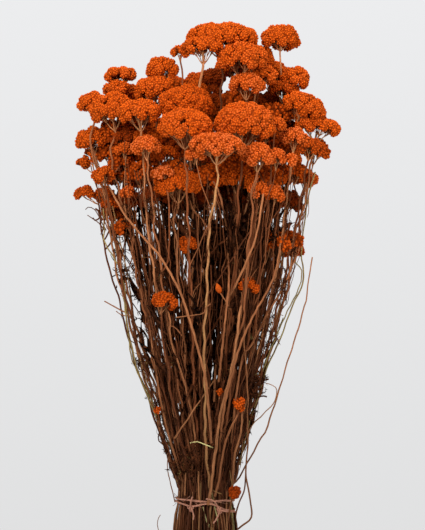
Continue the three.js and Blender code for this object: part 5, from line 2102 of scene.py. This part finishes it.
class LonasSettings(bpy.types.PropertyGroup):
    """Sizes, numbers and colours of the bunch."""

    floret_width: length_setting("Floret Width", "Width of one floret", 0.0028, 0.0018, 0.008)
    floret_spacing: length_setting(
        "Floret Spacing", "Least distance between two florets", 0.00218, 0.0016, 0.008
    )
    button_width: length_setting(
        "Button Width", "Width of one small round flower of a head", 0.0112, 0.006, 0.02
    )
    thin_stems: count_setting("Thin Stems", "Thin stems between the long ones", 470, 600)
    cut_ends: count_setting("Cut Ends", "Cut ends that flare out under the tie", 76, 200)
    dry_leaves: count_setting(
        "Dry Leaves", "Curled leaves and broken threads on the stems", 800, 2000
    )
    leaf_ribbons: count_setting("Leaf Ribbons", "Long twisted leaves among the stems", 1050, 1500)
    loose_threads: count_setting("Loose Threads", "Fine side threads on the outer stems", 420, 1000)
    floret_bright: colour_setting(
        "Floret Tips", "Colour of the tips of the florets", (0.77, 0.118, 0.0062)
    )
    # Painted shade between the florets and on heads that stand in shade.
    floret_shaded: colour_setting(
        "Floret Depths", "Colour between the florets", (0.36, 0.042, 0.0025)
    )
    # Dust on the paler heads, which is also painted light on some of them.
    floret_dust_and_light: colour_setting(
        "Dusty Tips", "Colour of the paler heads in front", (0.80, 0.185, 0.05)
    )
    stem_tan: colour_setting("Stem Tan", "Colour of the pale stems", (0.35, 0.142, 0.056))
    stem_red_brown: colour_setting(
        "Stem Red-Brown", "Colour of the middle stems", (0.15, 0.042, 0.0135)
    )
    stem_dark: colour_setting("Stem Dark", "Colour of the darkest stems", (0.032, 0.0095, 0.003))
    stem_olive: colour_setting(
        "Stem Olive", "Colour of the thin stems at the sides", (0.20, 0.14, 0.045)
    )
    straw: colour_setting("Straw", "Colour of the broken straws", (0.68, 0.60, 0.25))
    raffia: colour_setting("Raffia", "Colour of the tie", (0.66, 0.29, 0.18))
    glaze: colour_setting("Glaze", "Colour of the glaze of the vase", (0.74, 0.71, 0.65))
    clay: colour_setting("Clay", "Colour of the bare clay", (0.36, 0.25, 0.17))
    floor_colour: colour_setting("Floor", "Colour of the floor", (0.8, 0.8, 0.8))


class LONAS_OT_vase(bpy.types.Operator):
    """Make the stoneware vase"""

    bl_idname = "lonas.vase"
    bl_label = "Vase"

    def execute(self, context):
        make_vase(context.scene.lonas)
        return {"FINISHED"}


class LONAS_OT_stems(bpy.types.Operator):
    """Make the stems of the sprays and the branches under the heads"""

    bl_idname = "lonas.stems"
    bl_label = "Stems"

    def execute(self, context):
        make_stems(context.scene.lonas)
        return {"FINISHED"}


class LONAS_OT_twigs(bpy.types.Operator):
    """Make the thin stems, single stems and straws"""

    bl_idname = "lonas.twigs"
    bl_label = "Twigs and Straws"

    def execute(self, context):
        make_twigs(context.scene.lonas)
        return {"FINISHED"}


class LONAS_OT_leaves(bpy.types.Operator):
    """Make the dry leaves and the closed bud"""

    bl_idname = "lonas.leaves"
    bl_label = "Dry Leaves"

    def execute(self, context):
        make_leaves(context.scene.lonas)
        return {"FINISHED"}


class LONAS_OT_heads(bpy.types.Operator):
    """Make the flower heads"""

    bl_idname = "lonas.heads"
    bl_label = "Flower Heads"

    def execute(self, context):
        make_heads(context.scene.lonas)
        return {"FINISHED"}


class LONAS_OT_tie(bpy.types.Operator):
    """Make the raffia tie"""

    bl_idname = "lonas.tie"
    bl_label = "Raffia Tie"

    def execute(self, context):
        make_tie(context.scene.lonas)
        return {"FINISHED"}


class LONAS_OT_stage(bpy.types.Operator):
    """Make the floor, lights and camera"""

    bl_idname = "lonas.stage"
    bl_label = "Stage"

    def execute(self, context):
        make_stage(context.scene.lonas)
        return {"FINISHED"}


OPERATORS = (
    LONAS_OT_vase,
    LONAS_OT_stems,
    LONAS_OT_twigs,
    LONAS_OT_leaves,
    LONAS_OT_heads,
    LONAS_OT_tie,
    LONAS_OT_stage,
)


class LONAS_PT_bunch(bpy.types.Panel):
    """Sizes, colours and pieces of the bunch."""

    bl_label = "Dried Lonas"
    bl_idname = "LONAS_PT_bunch"
    bl_space_type = "VIEW_3D"
    bl_region_type = "UI"
    bl_category = "Lonas"

    def draw(self, context):
        for name in LonasSettings.__annotations__:
            self.layout.prop(context.scene.lonas, name)
        for operator in OPERATORS:
            self.layout.operator(operator.bl_idname)


def register():
    """Adds the settings, the operators and the panel to Blender."""
    for cls in (LonasSettings, *OPERATORS, LONAS_PT_bunch):
        bpy.utils.register_class(cls)
    bpy.types.Scene.lonas = bpy.props.PointerProperty(type=LonasSettings)


def unregister():
    """Takes them out again."""
    del bpy.types.Scene.lonas
    for cls in (LONAS_PT_bunch, *reversed(OPERATORS), LonasSettings):
        bpy.utils.unregister_class(cls)


def main():
    """Builds the stage and every piece."""
    register()
    bpy.ops.lonas.stage()
    bpy.ops.lonas.vase()
    bpy.ops.lonas.stems()
    bpy.ops.lonas.twigs()
    bpy.ops.lonas.leaves()
    bpy.ops.lonas.heads()
    bpy.ops.lonas.tie()


if __name__ == "__main__":
    main()
